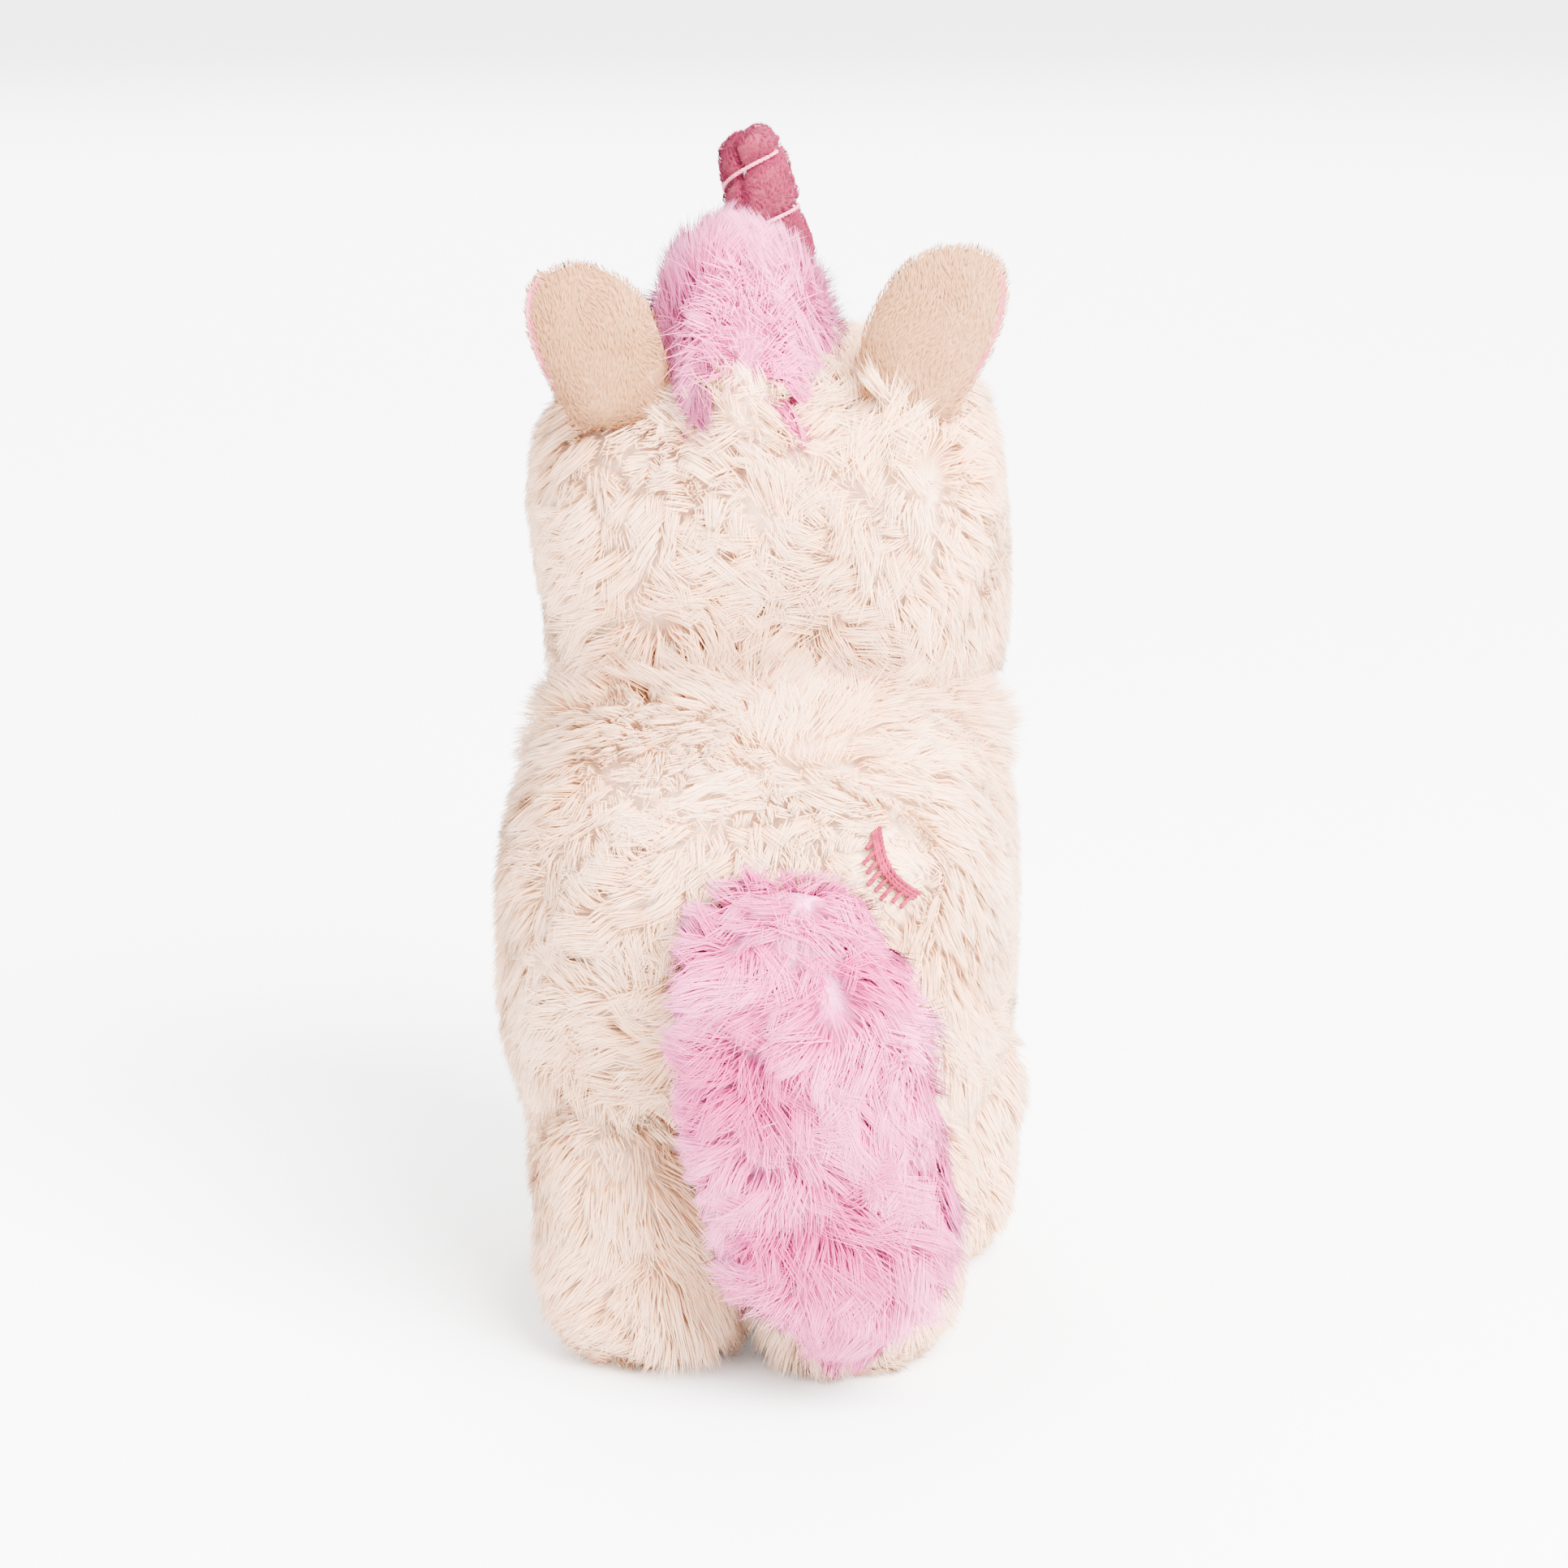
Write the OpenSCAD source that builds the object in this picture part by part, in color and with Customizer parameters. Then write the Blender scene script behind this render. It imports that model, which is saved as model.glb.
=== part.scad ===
// Plush unicorn that stands on four stubby legs, about 200 mm tall to the tip of its horn.
// Sewn skins of long pile fabric over fibre filling, with plastic eyes held by washers.
// Frame: origin on the floor under the middle of the outline, +Z up, the face looks
// towards -Y, so the unicorn's own left side is +X. All sizes are in millimetres.

/* [Body] */
// Half the width of the body, over the flattened pile
body_half_w = 42; // [39:1:45]
// Half the length of the body, from chest to rump
body_half_len = 51; // [49:1:54]
// Height of the body's widest level above the floor
body_mid_z = 67; // [65:1:69]
// Rise of the back above that level
back_rise = 43; // [40:1:45]
// Drop of the belly below that level
belly_drop = 38; // [36:1:39]
// Fullness of the body's outline across: 2 is an oval, more is boxier
body_full = 3.3; // [2.8:0.1:3.6]
// Fullness of the body's outline along its length
length_full = 2.6; // [2.3:0.1:3]
// Share of the back's rise that is lost towards the rump
back_slope = 0.1; // [0:0.02:0.14]
// Place of the embroidered wing along the body: 0 is its middle and 90 the rump's end
wing_b = 50; // [44:1:54]
// Place of the embroidered wing round the body: 90 is the back and 180 its right side
wing_a = 140; // [132:1:146]
// Length of the wing's quill, in degrees round the body
wing_span = 17; // [14:1:19]

/* [Fabric] */
// Thickness of the long pile fabric with its pile pressed flat
pile_t = 5; // [3.5:0.5:6]
// Gap between soft pieces that move against each other
seat_gap = 0.3; // [0.25:0.05:0.5]
// Radius of the embroidery thread
thread_r = 0.5; // [0.4:0.05:0.7]
// Gap between a thread and the fabric that it lies on
thread_gap = 0.05; // [0.02:0.01:0.1]

/* [Head] */
// Half the width of the head, over the flattened pile
head_half_w = 39.5; // [37:0.5:43]
// Radius of the head, seen from the side
head_r = 33; // [31:1:35]
// Fullness of the head's outline: 2 is an oval, more is boxier
head_full = 3.8; // [3:0.1:4.2]
// Place of the head's centre along X
head_x = 0; // [-3:1:3]
// Distance of the head's centre in front of the body's middle
head_forward = 26; // [22:1:30]
// Depth by which the head sinks into the neck
neck_sink = 14; // [12:1:16]
// Sideways tilt of the head, in degrees
head_roll = 3; // [0:1:6]

/* [Muzzle and eyes] */
// Half the width of the muzzle
muzzle_half_w = 21; // [18:1:24]
// Half the height of the muzzle
muzzle_half_h = 16; // [13:1:18]
// Half the depth of the muzzle
muzzle_half_d = 20; // [17:1:22]
// Distance of the muzzle's centre in front of the head's centre
muzzle_forward = 29; // [27:1:31]
// Drop of the muzzle's centre below the head's centre
muzzle_drop = 9; // [7:1:11]
// Thickness of the muzzle's short pile fabric
velour_t = 2.5; // [2:0.5:3]
// Radius of an eye
eye_r = 5; // [4:0.5:6]
// Height of an eye's dome
eye_dome = 3.2; // [2.5:0.1:4]
// Place of an eye to the side of the face's middle
eye_x = 21; // [19:1:24]
// Angle of an eye above the level of the head's centre
eye_up = 14; // [11:1:18]
// Angle by which an eye looks out to its side
eye_out = 14; // [10:1:18]
// Radius of an eye's shank
shank_r = 1.6; // [1.3:0.1:2]
// Length of an eye's shank behind the dome
shank_len = 9; // [8:0.5:11]
// Radial gap between a shank and its washer
shank_gap = 0.05; // [0.03:0.01:0.1]
// Radius of a lock washer
washer_r = 5.5; // [4.5:0.5:6.5]
// Thickness of a lock washer
washer_t = 1.4; // [1:0.1:2]

/* [Ears] */
// Length of an ear above its seam
ear_len = 25.5; // [22:0.5:30]
// Half the width of an ear at its widest
ear_half_w = 10.5; // [9.5:0.5:12]
// Half the thickness of an ear at its seam
ear_half_t = 3.5; // [3:0.25:4]
// Place of an ear's seam to the side of the ears' common middle
ear_x = 24.8; // [24.4:0.2:27]
// Place of the ears' common middle along X on the head
ears_mid_x = -1.4; // [-2:0.2:0]
// Angle of an ear's seam behind the top of the head
ear_back = 40; // [34:1:44]
// Height of an ear's fold line above the head's skin
ear_lift = 2.7; // [2.6:0.05:2.9]
// Outward lean of an ear
ear_lean = 8; // [4:1:14]
// Tilt of both ears towards the unicorn's left
ears_tilt = -4; // [-6:1:0]
// Outward sweep of an ear's tip from the middle of its seam
ear_sweep = 3; // [0:0.5:5]
// Turn of an ear's open side towards its own side of the head
ear_turn = 4; // [0:1:8]

/* [Horn] */
// Radius of the horn at its root
horn_r = 9; // [8:0.5:10]
// Radius of the horn near its blunt tip
horn_tip_r = 5.6; // [5:0.2:6.4]
// Length of the horn above its root
horn_len = 37.5; // [33:0.5:42]
// Angle of the horn's root in front of the top of the head
horn_front = 31; // [28:1:34]
// Place of the horn's root along X on the head
horn_x = -3; // [-5:1:3]
// Forward lean of the horn
horn_lean = 10; // [8:1:16]
// Sideways lean of the horn
horn_side = 9; // [0:1:12]
// Height of the middle of the horn's root above the head's skin
horn_lift = 2.4; // [2:0.1:2.8]
// Rise of the spiral thread in one turn
spiral_pitch = 10.5; // [9:0.5:13]

/* [Mane] */
// Half the width of the mane's pile at its front end
mane_half_w = 15.5; // [12:0.5:16]
// Share of that width at the mane's rear end, between the ears
mane_rear_share = 0.66; // [0.55:0.01:0.7]
// Height of the mane's pile at its rear end, above the head's skin
mane_h = 9; // [7:1:12]
// Height of the mane's pile at its front end, behind the horn
mane_crest = 27; // [18:1:28]
// Depth of the mane's lowest outline below that skin
mane_root = 2; // [1:0.5:3]
// Angle of the mane's front end before the top of the head
mane_front = 12; // [8:1:14]
// Angle of the mane's rear end behind the top of the head
mane_rear = 58; // [50:1:64]
// Place of the mane's middle along X on the head
mane_x = 2.5; // [1:0.5:3]

/* [Legs] */
// Radius of a leg's round top
leg_r = 16.5; // [15:0.5:17.5]
// Height of the hips, on which the legs turn
hip_z = 32; // [31:0.5:33]
// Place of a hind leg to the side of the body's middle
hind_x = 19.5; // [18.5:0.5:22]
// Place of a front leg to the side of the body's middle
front_x = 27; // [24:0.5:28]
// Distance of the hind legs behind the body's middle
hind_y = 28; // [26:1:29]
// Distance of the front legs in front of the body's middle
front_y = 25; // [23:1:27]
// Radius of a foot at its widest, across
foot_r = 14.5; // [13.5:0.5:16]
// Reach of a foot's toe in front of its leg's middle
toe_reach = 18; // [17:0.5:20]
// Thickness of a foot's sole
sole_t = 1.2; // [1:0.1:1.6]
// Share of the foot's outline that its sole fills
sole_share = 0.5; // [0.42:0.01:0.55]
// Distance by which a foot's middle lies in front of its leg's
toe_shift = 1.2; // [0:0.1:2]

/* [Tail] */
// Height of the tail's root
tail_z = 82; // [79:1:84]
// Place of the tail's root along X
tail_x = -7; // [-10:1:0]
// Length of the tail below its root
tail_len = 70; // [66:1:76]
// Half the width of the tail at its fullest
tail_half_w = 18.5; // [15:0.5:20]
// Half the thickness of the tail at its fullest
tail_half_t = 9; // [8:0.5:10]
// Half the thickness of the tail at its root
tail_root_t = 6; // [5:0.5:7]
// Thickness of the tail's fabric with its pile pressed flat
tail_skin_t = 3; // [2:0.5:4]
// Sideways drift of the tail from root to tip
tail_drift = -9; // [-14:1:0]

/* [Hidden] */

// The frame's origin is under the middle of the outline, and the body's middle is behind it.
origin_back = 3;
head_c = [head_x, -head_forward, body_mid_z + back_rise + head_r - neck_sink];
front_leg = [front_x, -front_y];
hind_leg = [hind_x, hind_y];
left = 1;
right = -1;
// Height of a sewn thread's middle above the fabric that it lies on.
sewn_lift = thread_r + 3 * thread_gap;
$fn = 64;

// Sides and bands of the sewn forms, over the skin and then over the filling below it.
body_grid = [28, 18];
body_fill_grid = [16, 10];
head_grid = [24, 16];
head_fill_grid = [18, 12];
muzzle_grid = [20, 12];
muzzle_fill_grid = [16, 10];
limb_sides = 20;
limb_fill_sides = 12;
tail_sides = 18;

cream = "#F1E3D8";
cream_short = "#E4D2C1";
fill_white = "#F8F8F4";
pile_pink = "#EFC3DA";
lining_pink = "#E98FAF";
crimson = "#C9506A";
thread_pink = "#F1C6CF";
eye_black = "#17130F";
washer_grey = "#C9CBCD";

// ---- shapes ----------------------------------------------------------------------

function spow(v, p) = sign(v) * pow(abs(v), p);
function unit(v) = v / norm(v);
function reversed(v) = [for (i = [len(v) - 1:-1:0]) v[i]];

// Triangles over m rings of n points each, with a pole before the first and after the last.
function ring_faces(m, n) = concat(
    [for (j = [0:n - 1]) [m * n, (j + 1) % n, j]],
    [for (i = [0:m - 2], j = [0:n - 1], k = [0, 1])
        let (a = i * n + j, b = i * n + (j + 1) % n)
        k == 0 ? [a, b, b + n] : [a, b + n, a + n]],
    [for (j = [0:n - 1]) [m * n + 1, (m - 1) * n + j, (m - 1) * n + (j + 1) % n]]);

module skinned(rings, first_pole, last_pole) {
    n = len(rings[0]);
    pts = concat([for (r = rings, p = r) p], [first_pole, last_pole]);
    polyhedron(points = pts, faces = ring_faces(len(rings), n));
}

// A tube of six sides along a list of points. Its ends are closed by flat fans.
module thread(path, r) {
    m = len(path);
    sides = 6;
    rings = [for (i = [0:m - 1])
        let (t = unit(path[min(i + 1, m - 1)] - path[max(i - 1, 0)]),
             u = unit(cross(t, abs(t[2]) > 0.8 ? [0, 1, 0] : [0, 0, 1])),
             v = cross(u, t))
        [for (j = [0:sides - 1]) path[i] + r * (cos(60 * j) * u + sin(60 * j) * v)]];
    skinned(rings, path[0], path[m - 1]);
}

// ---- body ------------------------------------------------------------------------

// A point of the body's skin: b runs from the chest at -90 to the rump at 90, and a
// goes round the body from its left side over the back. inset is the depth below it.
function body_at(b, a, inset = 0) =
    let (s = spow(sin(b), 2 / length_full), q = spow(cos(b), 2 / length_full),
         c = spow(cos(a), 2 / body_full), d = spow(sin(a), 2 / body_full),
         rise = (d > 0 ? back_rise * (1 - back_slope * s) : belly_drop) - inset)
    [(body_half_w - inset) * q * c, (body_half_len - inset) * s, body_mid_z + rise * q * d];

function body_normal(b, a) =
    let (e = 0.5, du = body_at(b + e, a) - body_at(b - e, a),
         dv = body_at(b, a + e) - body_at(b, a - e))
    unit(cross(du, dv));

// The rump's furthest point back at a height, the widest level's below that level.
function rump_y(z) = z <= body_mid_z ? body_half_len
    : max([for (b = [0:0.5:90]) let (p = body_at(b, 90)) p[2] >= z ? p[1] : 0]);

module body_form(inset, grid) {
    sides = grid[0];
    step = 180 / grid[1];
    rings = [for (b = [-90 + step:step:90 - step / 2])
        [for (j = [0:sides - 1]) body_at(b, 360 * j / sides, inset)]];
    skinned(rings, body_at(-90, 0, inset), body_at(90, 0, inset));
}

// The round seats in the body for the head and the legs.
module body_seats(grow) {
    in_head() head_lathe(seat_gap + grow);
    for (side = [left, right], place = [front_leg, hind_leg])
        at_leg(side, place) translate([0, 0, hip_z]) sphere(r = leg_r + seat_gap + grow);
}

module body_filling_form() {
    difference() {
        body_form(pile_t, body_fill_grid);
        body_seats(pile_t);
    }
}

module body_skin() {
    color(cream) difference() {
        body_form(0, body_grid);
        body_seats(0);
        body_filling_form();
    }
}

module body_filling() {
    color(fill_white) body_filling_form();
}

// The seam by which the belly was closed by hand, after the filling went in.
module belly_closing_stitch() {
    stitch_r = 0.4;
    stitches = 7;
    pitch_deg = 3;
    half_len_deg = 1.6;
    slant = 1 / 3;
    underside = 270;
    color(cream_short) for (i = [0:stitches - 1]) {
        b = (i - (stitches - 1) / 2) * pitch_deg;
        lift = stitch_r + thread_gap;
        thread([for (k = [-1:1]) let (a = underside + k * half_len_deg)
            body_at(b + k * half_len_deg * slant, a) + lift * body_normal(b, a)], stitch_r);
    }
}

// A small embroidered wing on the right of the rump: one curved quill and its feathers,
// which sweep away from it. Places on it are in degrees along and round the body.
function wing_at(u, v) =
    let (b = wing_b + u, a = wing_a + v) body_at(b, a) + sewn_lift * body_normal(b, a);

module wing_embroidery() {
    feathers = 9;
    bow = 5;
    swell = 2;
    shortest = 5;
    sweep = 3;
    function quill_u(t) = bow * sin(180 * t) - bow / 2;
    color(crimson) {
        thread([for (t = [0:0.1:1]) wing_at(quill_u(t), wing_span * (t - 0.5))], thread_r);
        for (i = [0:feathers - 1]) {
            t = (i + 0.7) / feathers;
            feather = shortest + swell * sin(180 * t);
            thread([for (k = [0.12, 0.56, 1])
                wing_at(quill_u(t) + feather * k, wing_span * (t - 0.5) + sweep * k)], thread_r);
        }
    }
}

// ---- head ------------------------------------------------------------------------

module in_head() {
    translate(head_c) rotate([0, head_roll, 0]) children();
}

// Radius of the head at a place along its own X axis, about which it nods.
function head_rad(x) = head_r * pow(max(0, 1 - pow(abs(x) / head_half_w, head_full)), 1 / head_full);

function head_profile(b, grow) = [(head_half_w + grow) * spow(sin(b), 2 / head_full),
    (head_r + grow) * spow(cos(b), 2 / head_full)];

// The round body about the head's X axis, for the seat in which the head nods.
module head_lathe(grow) {
    steps = 32;
    step = 180 / steps;
    rotate([0, 90, 0]) rotate_extrude()
        polygon([for (b = [-90:step:90]) let (p = head_profile(b, grow)) [max(0, p[1]), p[0]]]);
}

module head_form(inset, grid) {
    sides = grid[0];
    step = 180 / grid[1];
    rings = [for (b = [90 - step:-step:-90 + step / 2]) let (p = head_profile(b, -inset))
        [for (j = [0:sides - 1]) [p[0], p[1] * cos(360 * j / sides), p[1] * sin(360 * j / sides)]]];
    skinned(rings, [head_half_w - inset, 0, 0], [inset - head_half_w, 0, 0]);
}

// An eye's place on the face: its own +Z axis points into the head.
module at_eye(side) {
    r = head_rad(eye_x) + seat_gap;
    translate([side * eye_x, -r * cos(eye_up), r * sin(eye_up)])
        rotate([-90 - eye_up, 0, side * eye_out]) children();
}

// An ear's place on the head: +X along its seam, +Z up the ear, +Y out of its back.
module at_ear(side) {
    x = side * ear_x + ears_mid_x;
    r = head_rad(x) + ear_lift;
    translate([x, r * sin(ear_back), r * cos(ear_back)])
        rotate([0, side * ear_lean + ears_tilt, side * ear_turn]) children();
}

// The horn's place on the head: +Z along the horn, from the centre of its round root.
module at_horn() {
    r = head_rad(horn_x) + horn_lift;
    translate([horn_x, -r * sin(horn_front), r * cos(horn_front)])
        rotate([horn_lean, horn_side, 0]) children();
}

module horn_seat(grow) {
    at_horn() sphere(r = horn_r + seat_gap + grow);
}

// The holes for the eyes' shanks, with the pockets in which their washers lie.
module eye_holes() {
    end_gap = 0.5;
    for (side = [left, right]) at_eye(side) {
        cylinder(r = shank_r + shank_gap, h = shank_len + end_gap);
        translate([0, 0, pile_t]) cylinder(r = washer_r, h = washer_t);
    }
}

// The round grooves in which the ears' seams turn.
module ear_grooves() {
    for (side = [left, right])
        at_ear(side) rotate([0, 90, 0])
            cylinder(r = ear_half_t + seat_gap, h = 2 * ear_half_w, center = true);
}

module head_hollow() {
    difference() {
        head_form(pile_t, head_fill_grid);
        horn_seat(pile_t);
    }
}

module head_filling() {
    color(fill_white) in_head() difference() {
        head_hollow();
        eye_holes();
    }
}

module head_skin() {
    color(cream) in_head() difference() {
        head_form(0, head_grid);
        head_hollow();
        horn_seat(0);
        eye_holes();
        ear_grooves();
    }
}

function muzzle_at(b, a, inset = 0) = [
    (muzzle_half_w - inset) * cos(b) * cos(a),
    -muzzle_forward - (muzzle_half_d - inset) * sin(b),
    -muzzle_drop + (muzzle_half_h - inset) * cos(b) * sin(a)];

module muzzle_form(inset, grid) {
    sides = grid[0];
    step = 180 / grid[1];
    rings = [for (b = [90 - step:-step:-90 + step / 2])
        [for (j = [0:sides - 1]) muzzle_at(b, 360 * j / sides, inset)]];
    skinned(rings, muzzle_at(90, 0, inset), muzzle_at(-90, 0, inset));
}

module muzzle_skin() {
    color(cream_short) in_head() difference() {
        muzzle_form(0, muzzle_grid);
        muzzle_form(velour_t, muzzle_fill_grid);
        head_form(0, head_grid);
    }
}

module muzzle_filling() {
    color(fill_white) in_head() difference() {
        muzzle_form(velour_t, muzzle_fill_grid);
        head_form(0, head_grid);
    }
}

// Two nostrils and a curved mouth, sewn in thread on the muzzle. Their places are in
// degrees: 90 is the muzzle's front, and round it 90 is its top and 270 its underside.
module nose_and_mouth_stitching() {
    mouth_turn = 38;
    mouth_front = 52;
    mouth_curve = 6;
    nostril = 4;
    nostril_front = 66;
    nostril_side = 50;
    color(crimson) in_head() {
        thread([for (t = [-mouth_turn:mouth_turn / 5:mouth_turn])
            muzzle_at(mouth_front - mouth_curve * cos(2 * t), 270 + t, -sewn_lift)], thread_r);
        for (side = [left, right])
            thread([for (t = [-nostril:2:nostril])
                muzzle_at(nostril_front + t, 90 - side * (nostril_side - t), -sewn_lift)],
                thread_r);
    }
}

module eye(side) {
    color(eye_black) in_head() at_eye(side) {
        dome_r = (eye_r * eye_r + eye_dome * eye_dome) / (2 * eye_dome);
        intersection() {
            translate([0, 0, dome_r - eye_dome]) sphere(r = dome_r);
            translate([0, 0, -eye_dome]) cylinder(r = eye_r, h = eye_dome);
        }
        cylinder(r = shank_r, h = shank_len);
    }
}

module eye_washer(side) {
    spare = 1;
    color(washer_grey) in_head() at_eye(side) translate([0, 0, pile_t]) difference() {
        cylinder(r = washer_r, h = washer_t);
        translate([0, 0, -spare]) cylinder(r = shank_r + shank_gap, h = washer_t + 2 * spare);
    }
}

// The mane is one strip of long pile, sewn over the crown behind the horn.
module mane() {
    sides = 14;
    bands = 12;
    fullness = 0.7;
    crest_fall = 1.5;
    narrow_from = 0.2;
    narrow_over = 0.45;
    step = (mane_front + mane_rear) / bands;
    mid = (mane_rear - mane_front) / 2;
    reach = (mane_rear + mane_front) / 2;
    root_r = head_r - mane_root;
    rings = [for (i = [1:bands - 1])
        let (phi = -mane_front + i * step,
             q = pow(sqrt(1 - pow((phi - mid) / reach, 2)), fullness),
             h = mane_h + (mane_crest - mane_h) * pow(1 - i / bands, crest_fall),
             narrow = min(1, max(0, (i / bands - narrow_from) / narrow_over)),
             w = mane_half_w * (1 - (1 - mane_rear_share) * narrow * narrow * (3 - 2 * narrow)))
        [for (j = [0:sides - 1])
            let (a = 360 * j / sides, r = root_r + (h + mane_root) * q * sin(a))
            [mane_x + w * q * cos(a), r * sin(phi), r * cos(phi)]]];
    color(pile_pink) in_head() difference() {
        skinned(rings,
            [mane_x, root_r * sin(-mane_front), root_r * cos(mane_front)],
            [mane_x, root_r * sin(mane_rear), root_r * cos(mane_rear)]);
        head_form(0, head_grid);
    }
}

// ---- horn ------------------------------------------------------------------------

function horn_rad(h) = horn_r + (horn_tip_r - horn_r) * h / horn_len;

// The horn's outline from the bottom of its round root to its blunt tip.
module horn_form(inset) {
    tip_round = 3;
    top = horn_len - inset;
    rotate_extrude() polygon(concat(
        [for (a = [-90:15:0]) (horn_r - inset) * [cos(a), sin(a)]],
        [for (a = [0:30:90]) [horn_rad(top - tip_round) - inset - tip_round * (1 - cos(a)),
            top - tip_round * (1 - sin(a))]],
        [[0, top]]));
}

module horn_cover() {
    color(crimson) in_head() at_horn() difference() {
        horn_form(0);
        horn_form(velour_t);
    }
}

module horn_filling() {
    color(fill_white) in_head() at_horn() horn_form(velour_t);
}

// The thread that winds up the horn, from above its seam to just below its tip.
module horn_spiral_thread() {
    low = 7;
    bare_tip = 4.5;
    rise = horn_len - bare_tip - low;
    turns = rise / spiral_pitch;
    per_turn = 24;
    steps = ceil(turns * per_turn);
    color(thread_pink) in_head() at_horn() thread([for (i = [0:steps])
        let (h = low + rise * i / steps, a = 360 * turns * i / steps,
             r = horn_rad(h) + sewn_lift)
        [r * cos(a), r * sin(a), h]], thread_r);
}

// ---- ears ------------------------------------------------------------------------

// Share of the ear's length, share of its half width, and share of its half thickness.
ear_outline = [[0, 0.74, 1], [0.15, 0.9, 0.98], [0.35, 1, 0.94], [0.55, 0.98, 0.88],
    [0.72, 0.87, 0.78], [0.86, 0.66, 0.62], [0.96, 0.36, 0.36]];
sweep_curve = 1.5;

module ear_form(side) {
    sides = 14;
    seam_end = 0.5;
    seam_flare = ear_outline[0][1] - seam_end;
    seam = [for (a = [72, 45, 20])
        [-ear_half_t * sin(a), (seam_end + seam_flare * cos(a)) * ear_half_w,
         ear_half_t * cos(a)]];
    blade = [for (row = ear_outline)
        [row[0] * ear_len, row[1] * ear_half_w, row[2] * ear_half_t]];
    rings = [for (row = concat(seam, blade))
        let (dx = side * ear_sweep * pow(max(0, row[0] / ear_len), sweep_curve))
        [for (j = [0:sides - 1])
            [dx + row[1] * cos(360 * j / sides), row[2] * sin(360 * j / sides), row[0]]]];
    skinned(reversed(rings), [side * ear_sweep, 0, ear_len], [0, 0, -ear_half_t]);
}

module ear_half(side, face) {
    big = 4 * ear_len;
    in_head() at_ear(side) intersection() {
        ear_form(side);
        translate([-big / 2, face > 0 ? 0 : -big, -big / 2]) cube(big);
    }
}

module ear_back(side) {
    color(cream_short) ear_half(side, 1);
}

module ear_lining(side) {
    color(lining_pink) ear_half(side, -1);
}

// ---- legs ------------------------------------------------------------------------

// Height above the sole, share of the foot's half width, and share of the toe's reach.
foot_outline = [[0, 0.6, 0.66], [1.6, 0.74, 0.79], [5, 0.9, 0.92]];
instep_z = 11;
instep_swell = 0.2;
instep_fall = 1;
shin_z = 17;
shin_fall = 1.6;
thigh_z = hip_z - 8;
thigh_share = 0.93;

// Height, half width, and half length of a leg's rings, from its sole up to its hip.
// The rings from there up lie on the ball of radius leg_r in which the leg turns.
function leg_rows(inset) =
    let (ball = leg_r - inset, foot = foot_r - inset, toe = toe_reach - inset)
    concat(
        [for (row = foot_outline) [inset + row[0], foot * row[1], toe * row[2]]],
        [[instep_z, foot + instep_swell, toe - instep_fall],
         [shin_z, (foot + ball) / 2, (toe + ball - shin_fall) / 2],
         [thigh_z, ball * thigh_share, ball * thigh_share]],
        [for (a = [-15:15:75]) [hip_z + ball * sin(a), ball * cos(a), ball * cos(a)]]);

module leg_form(inset, sides) {
    rings = [for (row = leg_rows(inset))
        let (dy = -toe_shift * max(0, 1 - row[0] / thigh_z))
        [for (j = [0:sides - 1])
            [row[1] * cos(360 * j / sides), dy + row[2] * sin(360 * j / sides), row[0]]]];
    skinned(reversed(rings), [0, 0, hip_z + leg_r - inset], [0, -toe_shift, inset]);
}

module sole_form() {
    points = 28;
    linear_extrude(sole_t) polygon([for (j = [0:points - 1]) let (a = 360 * j / points)
        [sole_share * foot_r * cos(a), sole_share * toe_reach * sin(a) - toe_shift]]);
}

module at_leg(side, place) {
    translate([side * place[0], place[1], 0]) children();
}

module leg_skin(side, place) {
    color(cream) at_leg(side, place) difference() {
        leg_form(0, limb_sides);
        leg_form(pile_t, limb_fill_sides);
        sole_form();
    }
}

module leg_filling(side, place) {
    color(fill_white) at_leg(side, place) leg_form(pile_t, limb_fill_sides);
}

module foot_sole(side, place) {
    color(cream_short) at_leg(side, place) sole_form();
}

// ---- tail ------------------------------------------------------------------------

// Share of the tail's length, share of its half width, and share of its half thickness.
tail_outline = [[0.12, 0.85, 0.85], [0.26, 0.96, 0.95], [0.45, 1, 1], [0.64, 0.98, 0.97],
    [0.8, 0.84, 0.86], [0.91, 0.58, 0.66], [0.98, 0.27, 0.35]];

drift_curve = 1.3;
root_flare = 2;
tip_share = 0.4;

function tail_pivot_y() = rump_y(tail_z) + seat_gap + tail_root_t;

// A ring's centre lies so far back that its front just clears the rump.
function tail_ring(z, half_w, half_t, inset, sides) =
    let (d = (tail_z - z) / tail_len, over = d <= 0 ? tail_z : z,
         y = rump_y(over) + seat_gap + (d <= 0 ? tail_root_t : half_t),
         x = tail_x + tail_drift * pow(max(0, d), drift_curve))
    [for (j = [0:sides - 1]) [x + (half_w - inset) * cos(360 * j / sides),
        y + (half_t - inset) * sin(360 * j / sides), z]];

module tail_form(inset, sides) {
    last = len(tail_outline) - 1;
    blade = [for (i = [last:-1:0])
        let (row = tail_outline[i], lift = i == last ? inset : 0)
        tail_ring(tail_z - row[0] * tail_len + lift, row[1] * tail_half_w,
            row[2] * tail_half_t, i == last ? inset / 2 : inset, sides)];
    root = [for (a = [0, 25, 50, 72]) tail_ring(tail_z + (tail_root_t - inset) * sin(a),
        (root_flare * tail_root_t - inset) * cos(a) + inset,
        (tail_root_t - inset) * cos(a) + inset, inset, sides)];
    tip_y = rump_y(0) + seat_gap + tip_share * tail_half_t;
    skinned(reversed(concat(blade, root)),
        [tail_x, tail_pivot_y(), tail_z + tail_root_t - inset],
        [tail_x + tail_drift, tip_y, tail_z - tail_len + 2 * inset]);
}

module tail_skin() {
    color(pile_pink) difference() {
        tail_form(0, tail_sides);
        tail_form(tail_skin_t, limb_fill_sides);
    }
}

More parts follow.
